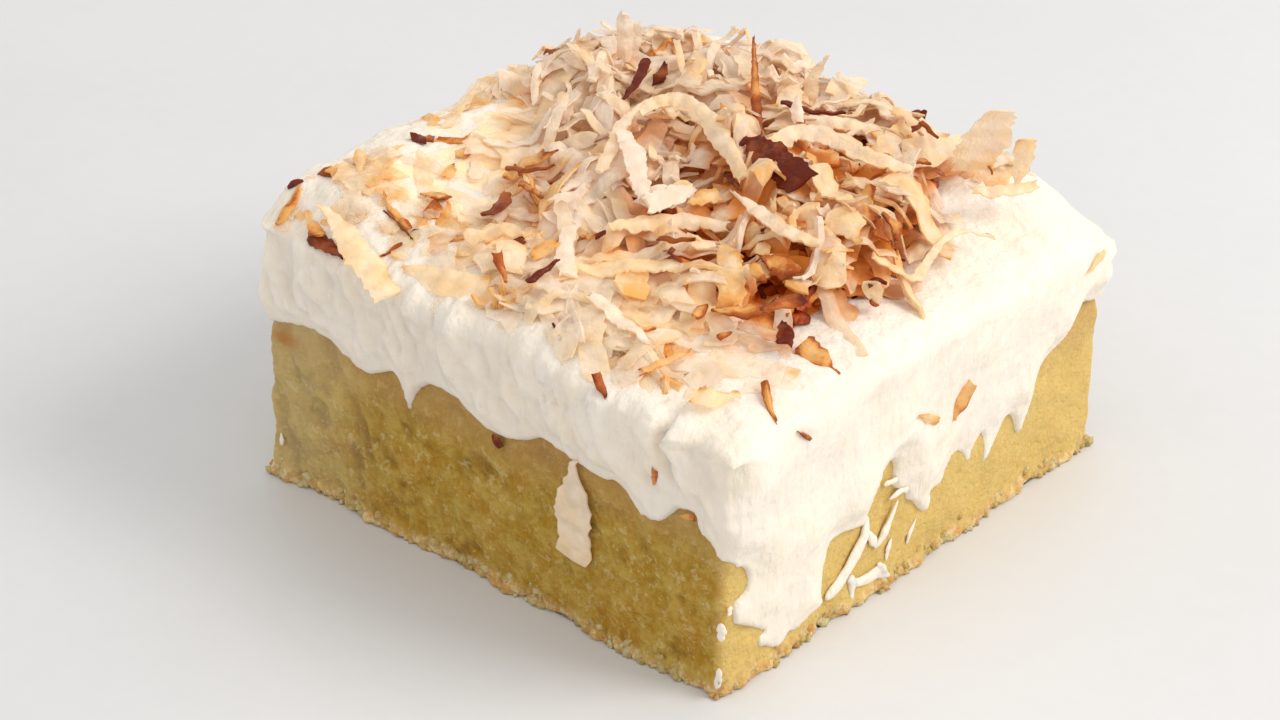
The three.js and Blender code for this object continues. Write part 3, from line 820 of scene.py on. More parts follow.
def cream_block():
    """The cream as a block over and round the sponge, with its surface shaped but its inside still full."""
    columns_x, columns_y, _ = CREAM_PARTS
    bm = divided_block(CREAM_PARTS)
    grid = points_of(bm)
    raw_x = np.interp(grid[:, 0], np.linspace(-1, 1, columns_x + 1), crowded(columns_x, HALF_WIDTH, 0.6))
    raw_y = np.interp(grid[:, 1], np.linspace(-1, 1, columns_y + 1), crowded(columns_y, HALF_DEPTH, 0.6))
    on_side = np.maximum(np.abs(grid[:, 0]), np.abs(grid[:, 1])) > 1 - 1e-6
    on_top = (grid[:, 2] > 1 - 1e-6) & ~on_side
    shoulder = shoulder_height(raw_x) - corner_slump(raw_x, raw_y)
    height = mix(0.3, shoulder, (grid[:, 2] + 1) / 2)
    corner = mix(1.7, 4.5, step_between(height, 22, 31))
    x, y, out_x, out_y = outline_point(raw_x, raw_y, corner)
    out_x, out_y = np.where(on_side, out_x, 0), np.where(on_side, out_y, 0)

    def stands_out(side, place, on):
        return cream_stands_out(side, place, height[on])

    def marked(side, place, on):
        return drag_marks(side, place, height[on])

    out = blend_sides(raw_x, raw_y, out_x, out_y, stands_out)
    spread_x = spread_to_side(raw_x, raw_y, HALF_WIDTH, ("left", "right"))
    spread_y = spread_to_side(raw_y, raw_x, HALF_DEPTH, ("front", "back"))
    top = cream_top(raw_x, raw_y) - corner_slump(raw_x, raw_y)
    top += swoops(raw_x, raw_y) * np.clip((1 - np.abs(grid[:, :2]).max(1)) * 12, 0, 1)
    points = np.stack(
        [
            x + np.where(on_side, out_x * out, np.where(on_top, spread_x, 0)),
            y + np.where(on_side, out_y * out, np.where(on_top, spread_y, 0)),
            np.where(on_top, top, height),
        ],
        axis=1,
    )
    move_points(bm, points)
    marks = blend_sides(raw_x, raw_y, out_x, out_y, marked)
    paint(bm, "ridge", np.where(on_side, marks, 0.6))
    return bm


def spread_to_side(across, place, half, sides):
    """How far the top is drawn out to meet the cream of the side that is nearest."""
    share = np.clip(np.abs(across) / half, 0, 1) ** 5
    shoulder = np.full(len(place), SHOULDER)
    low = -cream_stands_out(sides[0], place, shoulder)
    high = cream_stands_out(sides[1], place, shoulder)
    return share * np.where(across < 0, low, high)


def swoops(x, y):
    """Marks of the spatula on the cream's top, with the tuft behind the heap and the rim at the left."""
    broad = 0.5 * ripples(x / 7 + 0.4 * np.sin(y / 6), y / 4.2, 80)
    away = np.hypot(x - BLOB["x"], y - BLOB["y"]) / BLOB["reach"]
    broad += BLOB["height"] * np.exp(-(away**4)) + LEFT_RIM * left_rim(x, y)
    return broad + 0.22 * ripples(x / 1.9, y / 2.3, 81, 3)


def corner_slump(x, y):
    """How far the cream has slumped at the back right corner."""
    return SLUMP * step_between(x + y, 60, 74)


def left_rim(x, y):
    """Where the cream stands up along the left edge, from 0 to 1."""
    return step_between(-x, 16, 31) * step_between(y, -37, -31) * step_between(-y, -20, -4)


def cut_away(piece, low, high):
    """Cuts a block out of a piece, between two corners in slice millimetres."""
    bm = bmesh.new()
    bmesh.ops.create_cube(bm, size=1)
    size = Vector(high) - Vector(low)
    centre = (Vector(high) + Vector(low)) / 2
    shift = Matrix.Translation(SLICE_MIDDLE + centre * MM)
    bmesh.ops.transform(bm, matrix=shift @ Matrix.Diagonal((*(size * MM), 1)), verts=bm.verts)
    mesh = bpy.data.meshes.new("cutter")
    bm.to_mesh(mesh)
    bm.free()
    cutter = bpy.data.objects.new("cutter", mesh)
    bpy.context.scene.collection.objects.link(cutter)
    cut = piece.modifiers.new("Cut", "BOOLEAN")
    cut.operation = "DIFFERENCE"
    cut.solver = "MANIFOLD"
    cut.object = cutter
    graph = bpy.context.evaluated_depsgraph_get()
    shaped = bpy.data.meshes.new_from_object(piece.evaluated_get(graph))
    piece.modifiers.clear()
    piece.data = shaped
    bpy.data.objects.remove(cutter)


class CAKE_OT_cream(bpy.types.Operator):
    """The whipped cream that lies on the sponge and laps over its sides"""

    bl_idname = "cake.add_cream"
    bl_label = "Whipped Cream"

    def execute(self, context):
        piece = finish_piece(cream_block(), "whipped_cream", whipped_cream(), "cream")
        inner_x, inner_y = HALF_WIDTH - CUT_IN, HALF_DEPTH - CUT_IN
        cut_away(piece, (-inner_x, -inner_y, -1), (inner_x, inner_y, SPONGE_HEIGHT - CUT_DOWN))
        if len(piece.data.polygons) < FEWEST_FACES:
            raise RuntimeError("the cream was lost in the cut")
        return {"FINISHED"}


class CAKE_OT_drips(bpy.types.Operator):
    """Thin drips and spots of cream that ran down over the crumb"""

    bl_idname = "cake.add_drips"
    bl_label = "Drips"

    def execute(self, context):
        whole = bmesh.new()
        whole.verts.layers.float.new("ridge")
        scratch = bpy.data.meshes.new("drip_scratch")
        for seed, (side, line) in enumerate(CREAM_DRIPS):
            bit = bmesh.new()
            ridge = bit.verts.layers.float.new("ridge")
            bmesh.ops.create_uvsphere(bit, u_segments=16, v_segments=30, radius=1)
            for vert in bit.verts:
                vert[ridge] = 0.6
            self.run_down(bit, side, np.array(line), seed)
            join(whole, bit, scratch)
        finish_piece(whole, "cream_drips", whipped_cream())
        return {"FINISHED"}

    def run_down(self, bm, side, line, seed):
        """Draws a ball out along the drip's line, flat against the crumb and pointed at its ends."""
        ball = points_of(bm)
        share = np.arccos(np.clip(-ball[:, 2], -1, 1)) / math.pi
        round_it = np.maximum(np.hypot(ball[:, 0], ball[:, 1]), 1e-6)
        knots = np.linspace(0, 1, len(line))

        def spot_at(where):
            return np.array([np.interp(np.clip(where, 0, 1), knots, line[:, k]) for k in (0, 1)])

        place, height, half = (np.interp(share, knots, line[:, k]) for k in range(3))
        pointed = (1 - np.abs(2 * share - 1) ** 5) ** 0.6
        half = half * (1 + 0.25 * bumps(share * 5, 0 * share, 300 + seed)) * pointed
        run = spot_at(share + 0.05) - spot_at(share - 0.05)
        run /= np.linalg.norm(run, axis=0)
        sideways = ball[:, 0] / round_it * half
        outward = ball[:, 1] / round_it * np.minimum(half, 0.7) * 0.55
        stand = np.maximum(crumb_relief(side, place, height), 0.0) + 0.12 + outward
        for vert, p, h, s in zip(bm.verts, place - run[1] * sideways, height + run[0] * sideways, stand):
            vert.co = side_point(side, p, max(h, 0.05), s)
        bmesh.ops.recalc_face_normals(bm, faces=bm.faces)


# ---- The coconut -----------------------------------------------------------------------------------

GRID_STEP = 0.4
GRID_HALF = 46
NO_CEILING = 99.0
SIGHT_X, SIGHT_Y, SIGHT_RISE = 0.64, 0.77, 0.57  # how sight runs from the slice past its front corner
FURTHEST_RIGHT, FURTHEST_FRONT = 37.4, -38.2  # where the loose shreds end
BRIDGED = 2.2  # gaps up to this between a shred's points hold up what falls on them
# The browning is partly toasting and partly painted shade in the heap's crevices.
BROWNEST = {"x": 17, "y": -5, "reach_x": 12, "reach_y": 17}  # where the heap is browned most
SCATTERED = 1500  # how many loose flakes are tried outside the heap
SHADE_ON_TOP = 0.2  # the share of the heap's golden shade that the shreds on top take on


class Ground:
    """The height of all that lies on the slice so far, on a square grid."""

    def __init__(self):
        axis = np.arange(-GRID_HALF, GRID_HALF, GRID_STEP)
        self.x, self.y = np.meshgrid(axis, axis, indexing="ij")
        beyond = np.maximum(np.abs(self.x) - HALF_WIDTH - 1, np.abs(self.y) - HALF_DEPTH - 1)
        self.height = cream_top(self.x, self.y) + LEFT_RIM * left_rim(self.x, self.y)
        self.height -= corner_slump(self.x, self.y) + 3 * np.maximum(beyond, 0)
        self.ceiling = np.full(self.height.shape, NO_CEILING)

    def cells(self, x, y):
        last = len(self.height) - 1
        i = np.clip(((x + GRID_HALF) / GRID_STEP).astype(int), 0, last)
        j = np.clip(((y + GRID_HALF) / GRID_STEP).astype(int), 0, last)
        return i, j

    def at(self, x, y):
        return self.height[self.cells(x, y)]

    def raise_to(self, x, y, z):
        np.maximum.at(self.height, self.cells(x, y), z)

    def keep_clear(self, line, width):
        """Keeps what falls later from covering a line of points, seen from the front corner."""
        for away in np.arange(0, 6, GRID_STEP):
            for aside in np.arange(-width / 2, width / 2 + 0.1, GRID_STEP):
                x = line[:, 0] + SIGHT_X * away + SIGHT_Y * aside
                y = line[:, 1] - SIGHT_Y * away + SIGHT_X * aside
                np.minimum.at(self.ceiling, self.cells(x, y), line[:, 2] - 0.1 + SIGHT_RISE * away)


ground = Ground()


class Heap:
    """Many shreds that are gathered into one mesh."""

    def __init__(self, name):
        self.name = name
        self.whole = bmesh.new()
        self.whole.verts.layers.float.new("toast")
        self.whole.verts.layers.float.new("tone")
        self.whole.loops.layers.uv.new("grain")
        self.scratch = bpy.data.meshes.new(name + "_scratch")

    def add(self, bm):
        join(self.whole, bm, self.scratch)

    def finish(self, painted_glow, sheer=0.0):
        material = coconut_flesh(self.name.replace("_", " ").title(), painted_glow, sheer)
        return finish_piece(self.whole, self.name, material)


def mark_depths():
    """Tells each point of the coconut how deep it lies in the heap and how settled it is; the depth paints
    amber shade into the heap's crevices: painted shade, where light would come through golden.
    """
    near = (-2, -1, 0, 1, 2)
    top = sum(np.roll(ground.height, (i, j), (0, 1)) for i in near for j in near) / len(near) ** 2
    for piece in bpy.context.scene.objects:
        if piece.name.startswith("coconut_"):
            flat = np.empty(3 * len(piece.data.vertices), np.float32)
            piece.data.vertices.foreach_get("co", flat)
            points = (flat.reshape(-1, 3) - np.array(SLICE_MIDDLE)) / MM
            above = top[ground.cells(points[:, 0], points[:, 1])] - points[:, 2]
            rich = np.array([browning(x, y) for x, y in points[:, :2]])
            deep = (0.08 + step_between(above, 0.0, 1.7)) * np.clip(0.6 + 1.1 * rich, 0, 1)
            deep *= np.abs(points[:, 1]) < HALF_DEPTH
            calm = settled(points[:, 0], points[:, 1])
            shaded = deep * (1 - 0.7 * calm) * (SHADE_ON_TOP if piece.name == "coconut_on_top" else 1.0)
            for name, values in (("deep", shaded), ("calm", calm)):
                layer = piece.data.attributes.new(name, "FLOAT", "POINT")
                layer.data.foreach_set("value", values.astype(np.float32))


def shape_shred(bm, shape):
    """Gives a flat unit grid the ragged outline, the thin rims and the toasting of one shred."""
    flat = points_of(bm)
    u, v = flat[:, 0], flat[:, 1]
    rim, end = np.abs(2 * v), np.abs(2 * u)
    seed, length, width = shape["seed"], shape["length"], shape["width"]
    nicks = 0.1 * lattice_value(np.round(u * 40), np.round(2 * v), seed)
    wavy = shape["wavy"] * bumps(u * length / 2.2, 1.7 * v, seed) + nicks
    fine = 0.3 * shape["torn"] * lattice_value(np.round(u * shape["parts"]), np.round(2 * v), seed + 5)
    narrow = 1 - shape["taper"] * np.abs(2 * u - shape["waist"]) ** 2.2
    torn = end**4 * lattice_value(np.round(2 * u), np.round(2 * v), seed + 1) * min(0.5, 0.12 * length)
    slant = shape["slant"] * v * width * u
    x = u * length + torn + slant
    y = width * (v * np.maximum(narrow, 0.25) + 0.5 * rim * (wavy + fine))
    z = np.where(flat[:, 2] > flat[:, 2].mean(), 0.5, -0.5) * shape["thickness"] * (1 - 0.55 * rim)
    uneven = 0.6 + 0.8 * bumps(u * 2.3, v * 1.2, seed + 2)
    browned = shape["rim_toast"] * (0.5 * rim**2 + 0.8 * end**3) * uneven
    patch = 0.12 * bumps(u * length / 3, v * 1.5, seed + 3)
    patch += shape["end_toast"] * np.maximum(0, 2 * u) ** 1.5
    toast, tone = bm.verts.layers.float["toast"], bm.verts.layers.float["tone"]
    for vert, value in zip(bm.verts, shape["toast"] + browned + patch):
        vert[toast] = value
        vert[tone] = shape["tone"]
    return np.stack([x, y, z], axis=1)


def way_ahead(line):
    """The way that a line of points runs at each of them."""
    ahead = np.gradient(line, axis=0)
    return ahead / np.linalg.norm(ahead, axis=1)[:, None]


def level_and_upward(ahead, heading):
    """The level way across a line, and the way up from both."""
    level = np.stack([-np.sin(heading), np.cos(heading), 0 * heading], axis=1)
    return level, np.cross(ahead, level)


def add_shred(heap, shape, spine, heading, lean):
    """Makes one shred along a spine of points, and raises the ground to its top."""
    bm = bmesh.new()
    for name in ("toast", "tone"):
        bm.verts.layers.float.new(name)
    bmesh.ops.create_grid(bm, x_segments=shape["parts"], y_segments=shape["lanes"], size=0.5)
    bmesh.ops.solidify(bm, geom=bm.faces[:], thickness=0.1)
    flat = shape_shred(bm, shape)
    move_points(bm, flat)
    grain = bm.loops.layers.uv.new("grain")
    for face in bm.faces:
        for loop in face.loops:
            loop[grain].uv = (loop.vert.co.x + shape["seed"], loop.vert.co.y + shape["seed"])
    ahead = way_ahead(spine)
    level, upward = level_and_upward(ahead, heading)
    across = level * np.cos(lean)[:, None] + upward * np.sin(lean)[:, None]
    outward = np.cross(ahead, across)
    span = np.linspace(-0.5, 0.5, len(spine)) * shape["length"]
    u, v, w = flat.T
    wave = shape["wave"] * np.sin(2.4 * u + shape["seed"])
    w = w - shape["cup"] * (2 * v / shape["width"]) ** 2 + wave

    def follow(rows):
        return np.stack([np.interp(u, span, rows[:, k]) for k in range(3)], axis=1)

    past = np.sign(u) * np.maximum(np.abs(u) - span[-1], 0)
    points = follow(spine) + past[:, None] * follow(ahead)
    points += v[:, None] * follow(across) + w[:, None] * follow(outward)
    move_points(bm, points)
    bm.normal_update()
    for edge in bm.edges:
        edge.smooth = edge.calc_face_angle(0) < 0.9
    tops = points + np.array([0, 0, 0.1])
    ground.raise_to(tops[:, 0], tops[:, 1], tops[:, 2])
    middle = (points[:, None] + points[None, ::3]) / 2
    close = np.linalg.norm(points[:, None] - points[None, ::3], axis=2) < BRIDGED
    ground.raise_to(middle[close][:, 0], middle[close][:, 1], middle[close][:, 2])
    heap.add(bm)


def drop_shred(heap, shape, x, y, yaw):
    """Lets a shred fall: it rests on the highest of what is under it, and sags over the rest."""
    knots = 9
    t = np.linspace(-0.5, 0.5, knots)
    heading = yaw + shape["swerve"] * t
    pace = shape["length"] / (knots - 1)
    middle = (heading[1:] + heading[:-1]) / 2
    line_x = np.concatenate([[0], np.cumsum(np.cos(middle) * pace)])
    line_y = np.concatenate([[0], np.cumsum(np.sin(middle) * pace)])
    line_x += x - line_x[knots // 2]
    line_y += y - line_y[knots // 2]
    line_x -= max(0, line_x.max() - FURTHEST_RIGHT)
    line_y += max(0, FURTHEST_FRONT - line_y.min())
    half = shape["width"] * 0.3
    lanes = [
        ground.at(line_x - side * half * np.sin(heading), line_y + side * half * np.cos(heading))
        for side in (-1, 0, 1)
    ]
    under = np.max(lanes, axis=0)
    slope, level = np.polyfit(t, under, 1)
    slope = np.clip(slope, -0.8 * shape["length"], 0.8 * shape["length"])
    plank = slope * t + level
    plank += np.quantile(under - plank, 0.75)
    rest = mix(plank, under, shape["sag"]) + shape["lift"] + shape["curl"] * (2 * t) ** 2 + shape["tip"] * t
    tilt = math.atan2(lanes[2].mean() - lanes[0].mean(), 2 * half)
    lean = shape["lean"] + 0.7 * np.clip(tilt, -0.7, 0.7) + shape["twist"] * t
    spine = np.stack([line_x, line_y, rest + shape["thickness"] / 2], axis=1)
    if (spine[:, 2] < ground.ceiling[ground.cells(line_x, line_y)]).all():
        add_shred(heap, shape, spine, heading, lean)


def browning(x, y):
    """How much browner the coconut is here: most between the middle and the right side, in patches. The
    browning is partly toasting and partly painted shade in the heap's crevices.
    """
    off_x = (x - BROWNEST["x"]) / BROWNEST["reach_x"]
    off_y = (y - BROWNEST["y"]) / BROWNEST["reach_y"]
    patches = float(bumps(np.array(x / 6), np.array(y / 6), 90))
    return 0.95 * math.exp(-(off_x**2) - off_y**2) + 0.3 * patches - 0.1


def rightward(x, y):
    """How far a place lies to the right of the slice's middle, seen from the front corner."""
    return SIGHT_Y * x + SIGHT_X * y


def settled(x, y):
    """How far the coconut has sunk flat into the cream here: at the front and towards the left corner."""
    front = step_between(-y, 15, 26) * step_between(x, -14, -4)
    left = step_between(-rightward(x, y), 16, 27)
    return np.maximum(front, left)


# Each kind of shred: how many, their sizes in millimetres, how far they are toasted, and how they swerve
# and curl, give off painted glow (warm light of their own, for light coming through) and let sight through.
KINDS = {
    "coconut_bits": {
        "count": 300, "length": (1.6, 4.2), "width": (1.0, 2.4), "thickness": 0.55, "parts": 4,
        "toast": (0.3, 0.66), "rim_toast": 0.25, "swerve": 0.3, "curl": (-0.2, 0.3),
        "painted_glow": 0.072, "sheer": 0.2,
    },
    "coconut_golden": {
        "count": 230, "length": (3.5, 9), "width": (1.8, 3.4), "thickness": 0.5, "parts": 8,
        "toast": (0.12, 0.36), "rim_toast": 0.3, "swerve": 0.8, "curl": (-0.2, 0.6),
        "painted_glow": 0.072, "sheer": 0.4,
    },
    "coconut_browned": {
        "count": 60, "length": (1.4, 4.2), "width": (0.8, 2.0), "thickness": 0.45, "parts": 5,
        "toast": (0.55, 0.9), "rim_toast": 0.2, "swerve": 0.6, "curl": (-0.2, 0.3),
        "painted_glow": 0.024, "sheer": 0.0,
    },
    "coconut_pale": {
        "count": 350, "length": (6, 15), "width": (1.9, 3.7), "thickness": 0.5, "parts": 12,
        "toast": (-0.08, 0.14), "rim_toast": 0.2, "swerve": 1.2, "curl": (-0.2, 1.0),
        "painted_glow": 0.072, "sheer": 0.55,
    },
    "coconut_slivers": {
        "count": 110, "length": (4.0, 10), "width": (0.8, 1.5), "thickness": 0.4, "parts": 9,
        "toast": (-0.08, 0.2), "rim_toast": 0.2, "swerve": 1.6, "curl": (-0.2, 1.0),
        "painted_glow": 0.072, "sheer": 0.5,
    },
}


def random_shape(kind, rng):
    """One shred of a kind."""
    length = rng.uniform(*kind["length"])
    return {
        "length": length,
        "width": rng.uniform(*kind["width"]) * min(1, 0.6 + length / 14),
        "thickness": kind["thickness"] * rng.uniform(0.8, 1.2),
        "parts": kind["parts"],
        "lanes": 2,
        "torn": rng.uniform(0.2, 0.8),
        "wavy": 0.14,
        "taper": rng.uniform(0.0, 0.2),
        "waist": rng.uniform(-0.6, 0.6),
        "slant": rng.gauss(0, 0.9),
        "toast": rng.uniform(*kind["toast"]),
        "rim_toast": kind["rim_toast"] * rng.uniform(0.1, 1.4),
        "end_toast": max(0, rng.gauss(-0.05, 0.25)),
        "tone": rng.random(),
        "swerve": kind["swerve"] * rng.gauss(0, 0.7),
        "curl": rng.uniform(*kind["curl"]) * min(1, length / 8),
        "tip": rng.gauss(0, 0.05) * length,
        "lean": rng.gauss(0, 0.2),
        "twist": rng.gauss(0, 0.35),
        "cup": rng.uniform(-0.1, 0.35),
        "wave": rng.uniform(0, 0.22),
        "sag": rng.uniform(0.55, 0.9),
        "lift": -0.12,
        "seed": rng.randrange(1, 900),
    }


def settle(shape, calm):
    """Presses a shred flat into the cream, all the way at 1."""
    shape["sag"] = mix(shape["sag"], 0.97, calm)
    shape["lift"] -= 0.2 * calm
    for key in ("curl", "tip", "lean", "twist", "wave"):
        shape[key] *= 1 - 0.75 * calm


def richness(x, y):
    """How densely the coconut lies here: thinner towards the left corner."""
    return mix(0.16, 1.0, step_between(rightward(x, y), -34, -10))


def heap_place(rng):
    """A random place in the heap."""
    while True:
        around = rng.uniform(-180, 180)
        out = float(along(HEAP_EDGE, np.array(around))) * rng.random() ** 0.55
        x, y = out * math.cos(math.radians(around)), out * math.sin(math.radians(around))
        if rng.random() < richness(x, y):
            return x, y


def cover_share(x, y):
    """How likely a loose flake stays where it falls outside the heap: least along the right side."""
    if x > 26:
        return 0.0 if y > -25 else 0.25
    if y < -22:
        return 1.0 if x > -8 else 0.7
    return 0.6


class CAKE_OT_heap(bpy.types.Operator):
    """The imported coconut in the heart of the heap, which the loose shreds cover"""

    bl_idname = "cake.add_heap"
    bl_label = "Heart of the Heap"

    def execute(self, context):
        bm = bmesh.new()
        layers = [bm.verts.layers.float.new(name) for name in ("toast", "tone")]
        bm.loops.layers.uv.new("grain")
        bmesh.ops.create_uvsphere(bm, u_segments=120, v_segments=60, radius=0.95)
        ball = points_of(bm)
        reach = along(HEAP_EDGE, np.degrees(np.arctan2(ball[:, 1], ball[:, 0])))
        x, y = reach * ball[:, 0], reach * ball[:, 1]
        rise = np.where(ball[:, 2] > 1e-6, heart_thickness(x, y), -0.2)
        base = cream_top(x, y) + LEFT_RIM * left_rim(x, y)
        move_points(bm, np.stack([x, y, base + rise], axis=1))
        calm = settled(x, y)
        # The heart is toasted golden to brown, more where the heap is browned, so that the gaps between the
        # shreds read dark: partly painted shade. Where it has settled it stays pale.
        for vert, px, py, flat in zip(bm.verts, x, y, calm):
            vert[layers[0]] = mix(0.46 + 0.26 * browning(px, py), 0.08, flat)
            vert[layers[1]] = 0.0
        ground.height = np.maximum(ground.height, ground.height + heart_thickness(ground.x, ground.y))
        finish_piece(bm, "coconut_heart", coconut_flesh("Coconut Heart", 0.072), "coconut")
        return {"FINISHED"}


def heart_thickness(x, y):
    """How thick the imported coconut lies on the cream."""
    full = bpy.context.scene.cake_coconut.heap_height / MM
    thick = full * np.sqrt(np.maximum(0, 1 - np.minimum(heap_share(x, y), 1) ** 4))
    lumps = np.maximum(0.16 + 0.22 * ripples(x / 2.6, y / 2.6, 91), 0.03)
    thin = 0.9 * settled(x, y) * (1 + ripples(x / 3, y / 3, 92))
    return np.where(heap_share(x, y) < 1, thick * lumps - thin, 0)


class CAKE_OT_shreds(bpy.types.Operator):
    """The loose shreds of coconut, kind by kind, each laid on those before it"""

    bl_idname = "cake.add_shreds"
    bl_label = "Coconut Shreds"

    def execute(self, context):
        amount = context.scene.cake_coconut.amount
        for spine, width, _, toast in HAND_BENT.values():
            if toast > 0.6 or width > 1.5:
                ground.keep_clear(rounded_line(spine), width)
        self.scatter(amount)
        for seed, (name, kind) in enumerate(KINDS.items()):
            rng = random.Random(11 + seed)
            heap = Heap(name)
            for _ in range(round(kind["count"] * amount)):
                x, y = heap_place(rng)
                shape = random_shape(kind, rng)
                brown, calm = browning(x, y), float(settled(x, y))
                if name == "coconut_browned" and rng.random() < 0.75 * calm:
                    continue
                if name in ("coconut_bits", "coconut_golden") and calm > 0.4 and shape["seed"] % 2:
                    continue
                if name == "coconut_bits":
                    shape["toast"] += 0.3 * brown - 0.22 * calm
                elif name == "coconut_golden":
                    shape["toast"] += 0.26 * brown - 0.06 * calm
                elif name == "coconut_pale":
                    shape["toast"] += 0.18 * brown + 0.05 * calm
                shape["end_toast"] *= (0.3 + 1.2 * brown) * (1 - 0.7 * calm)
                shape["rim_toast"] *= (0.5 + 2.2 * max(brown, 0)) * (1 - 0.5 * calm)
                settle(shape, calm)
                if calm < 0.3 and rng.random() < 0.12:
                    shape["curl"] += rng.uniform(0.6, 1.8) * min(1, shape["length"] / 9)
                drop_shred(heap, shape, x, y, rng.uniform(-math.pi, math.pi))
            heap.finish(kind["painted_glow"], kind["sheer"])
        return {"FINISHED"}

    def scatter(self, amount):
        """The thin pale flakes that lie loose on the cream all round the heap and over its shoulder."""
        rng = random.Random(31)
        heap = Heap("coconut_scatter")
        kind = dict(KINDS["coconut_pale"], length=(3, 8.5), width=(1.8, 4.4), parts=8, toast=(-0.05, 0.26))
        for _ in range(round(SCATTERED * amount)):
            x, y = rng.uniform(-35.5, 37.0), rng.uniform(-37.2, 36.5)
            if float(heap_share(x, y)) < 0.8 or rng.random() > 0.55 * cover_share(x, y):
                continue
            shape = random_shape(kind, rng)
            settle(shape, 1.0)
            shape.update(lift=-0.3, end_toast=0.5 * shape["end_toast"], rim_toast=0.5 * shape["rim_toast"])
            if rng.random() < 0.2:
                shape["toast"] += 0.2
            if rng.random() < 0.1:
                shape.update(toast=rng.uniform(0.5, 0.9))
                shape.update(length=shape["length"] * 0.45, width=shape["width"] * 0.5)
            drop_shred(heap, shape, x, y, rng.uniform(-math.pi, math.pi))
        heap.finish(0.048, 0.6)


# Shreds that are laid one by one and sag onto what is under them: place (two values), yaw in degrees,
# length, width, swerve in degrees, toasting.
HAND_LAID = (
    # on the heap
    (-6, -12.5, 86, 10, 2.3, 5, 0.05), (-17, 14, 115, 3.5, 1.6, 0, 0.8), (-32, 10, 2, 2.9, 1.6, 0, 0.6),
    (-25, 21.5, 73, 6, 1.1, 0, 0.45), (21, 0, -18, 9, 2.8, 0, 0.15), (-14.5, -14, 46, 5.4, 2.4, 0, 0.5),
    (-12, -17, -22, 6.5, 1.0, 0, 0.55), (11.5, -25, -49, 4.5, 4.2, 0, 0.25),
    (21, -18.5, -50, 9, 3.2, 0, 0.25), (9.4, -19.5, 41, 14, 2.3, -40, 0.12),
    (11.5, -22, 34, 16, 2.9, -50, 0.14), (-6.2, -18.5, 89, 5, 2.6, 0, 0.35),
    (2, -26, -51, 10, 2.2, 34, 0.02), (6.2, -12.4, 68, 6, 3.0, 0, 0.02),
    (9.3, -9.5, 76, 4.7, 2.0, 0, 0.4),
    # near its edge and on the cream
    (-3, -29.8, -44, 6, 3.6, 0, 0.12), (-36.8, -32.6, -35, 3.6, 2.2, 0, 0.78),
    (-34, -35.8, 100, 4.4, 1.4, 0, 0.55), (-29.4, -17.7, -5, 2, 1.7, 0, 1.0),
    (-27, -14.4, 39, 4.1, 1.6, 0, 0.52), (-20.7, -31, -17, 7, 1.2, 25, 0.5),
    (-31, -26.6, -44, 4.4, 1.6, 0, 0.4), (-19.3, -25, -7, 3.4, 2.1, 0, 0.45),
    (-22.3, -20, 92, 2.4, 1.4, 0, 0.5), (19, -31.5, 57, 2.9, 1.0, 0, 0.45),
    (15.3, -31.5, -14, 11, 1.9, -6, 0.02), (-29.3, -36, -3, 5.5, 1.8, 0, 0.3),
    (14.7, 26.5, -30, 2.4, 1.4, 0, 0.85), (34.6, -1.4, -9, 6, 1.3, 10, 0.25),
)

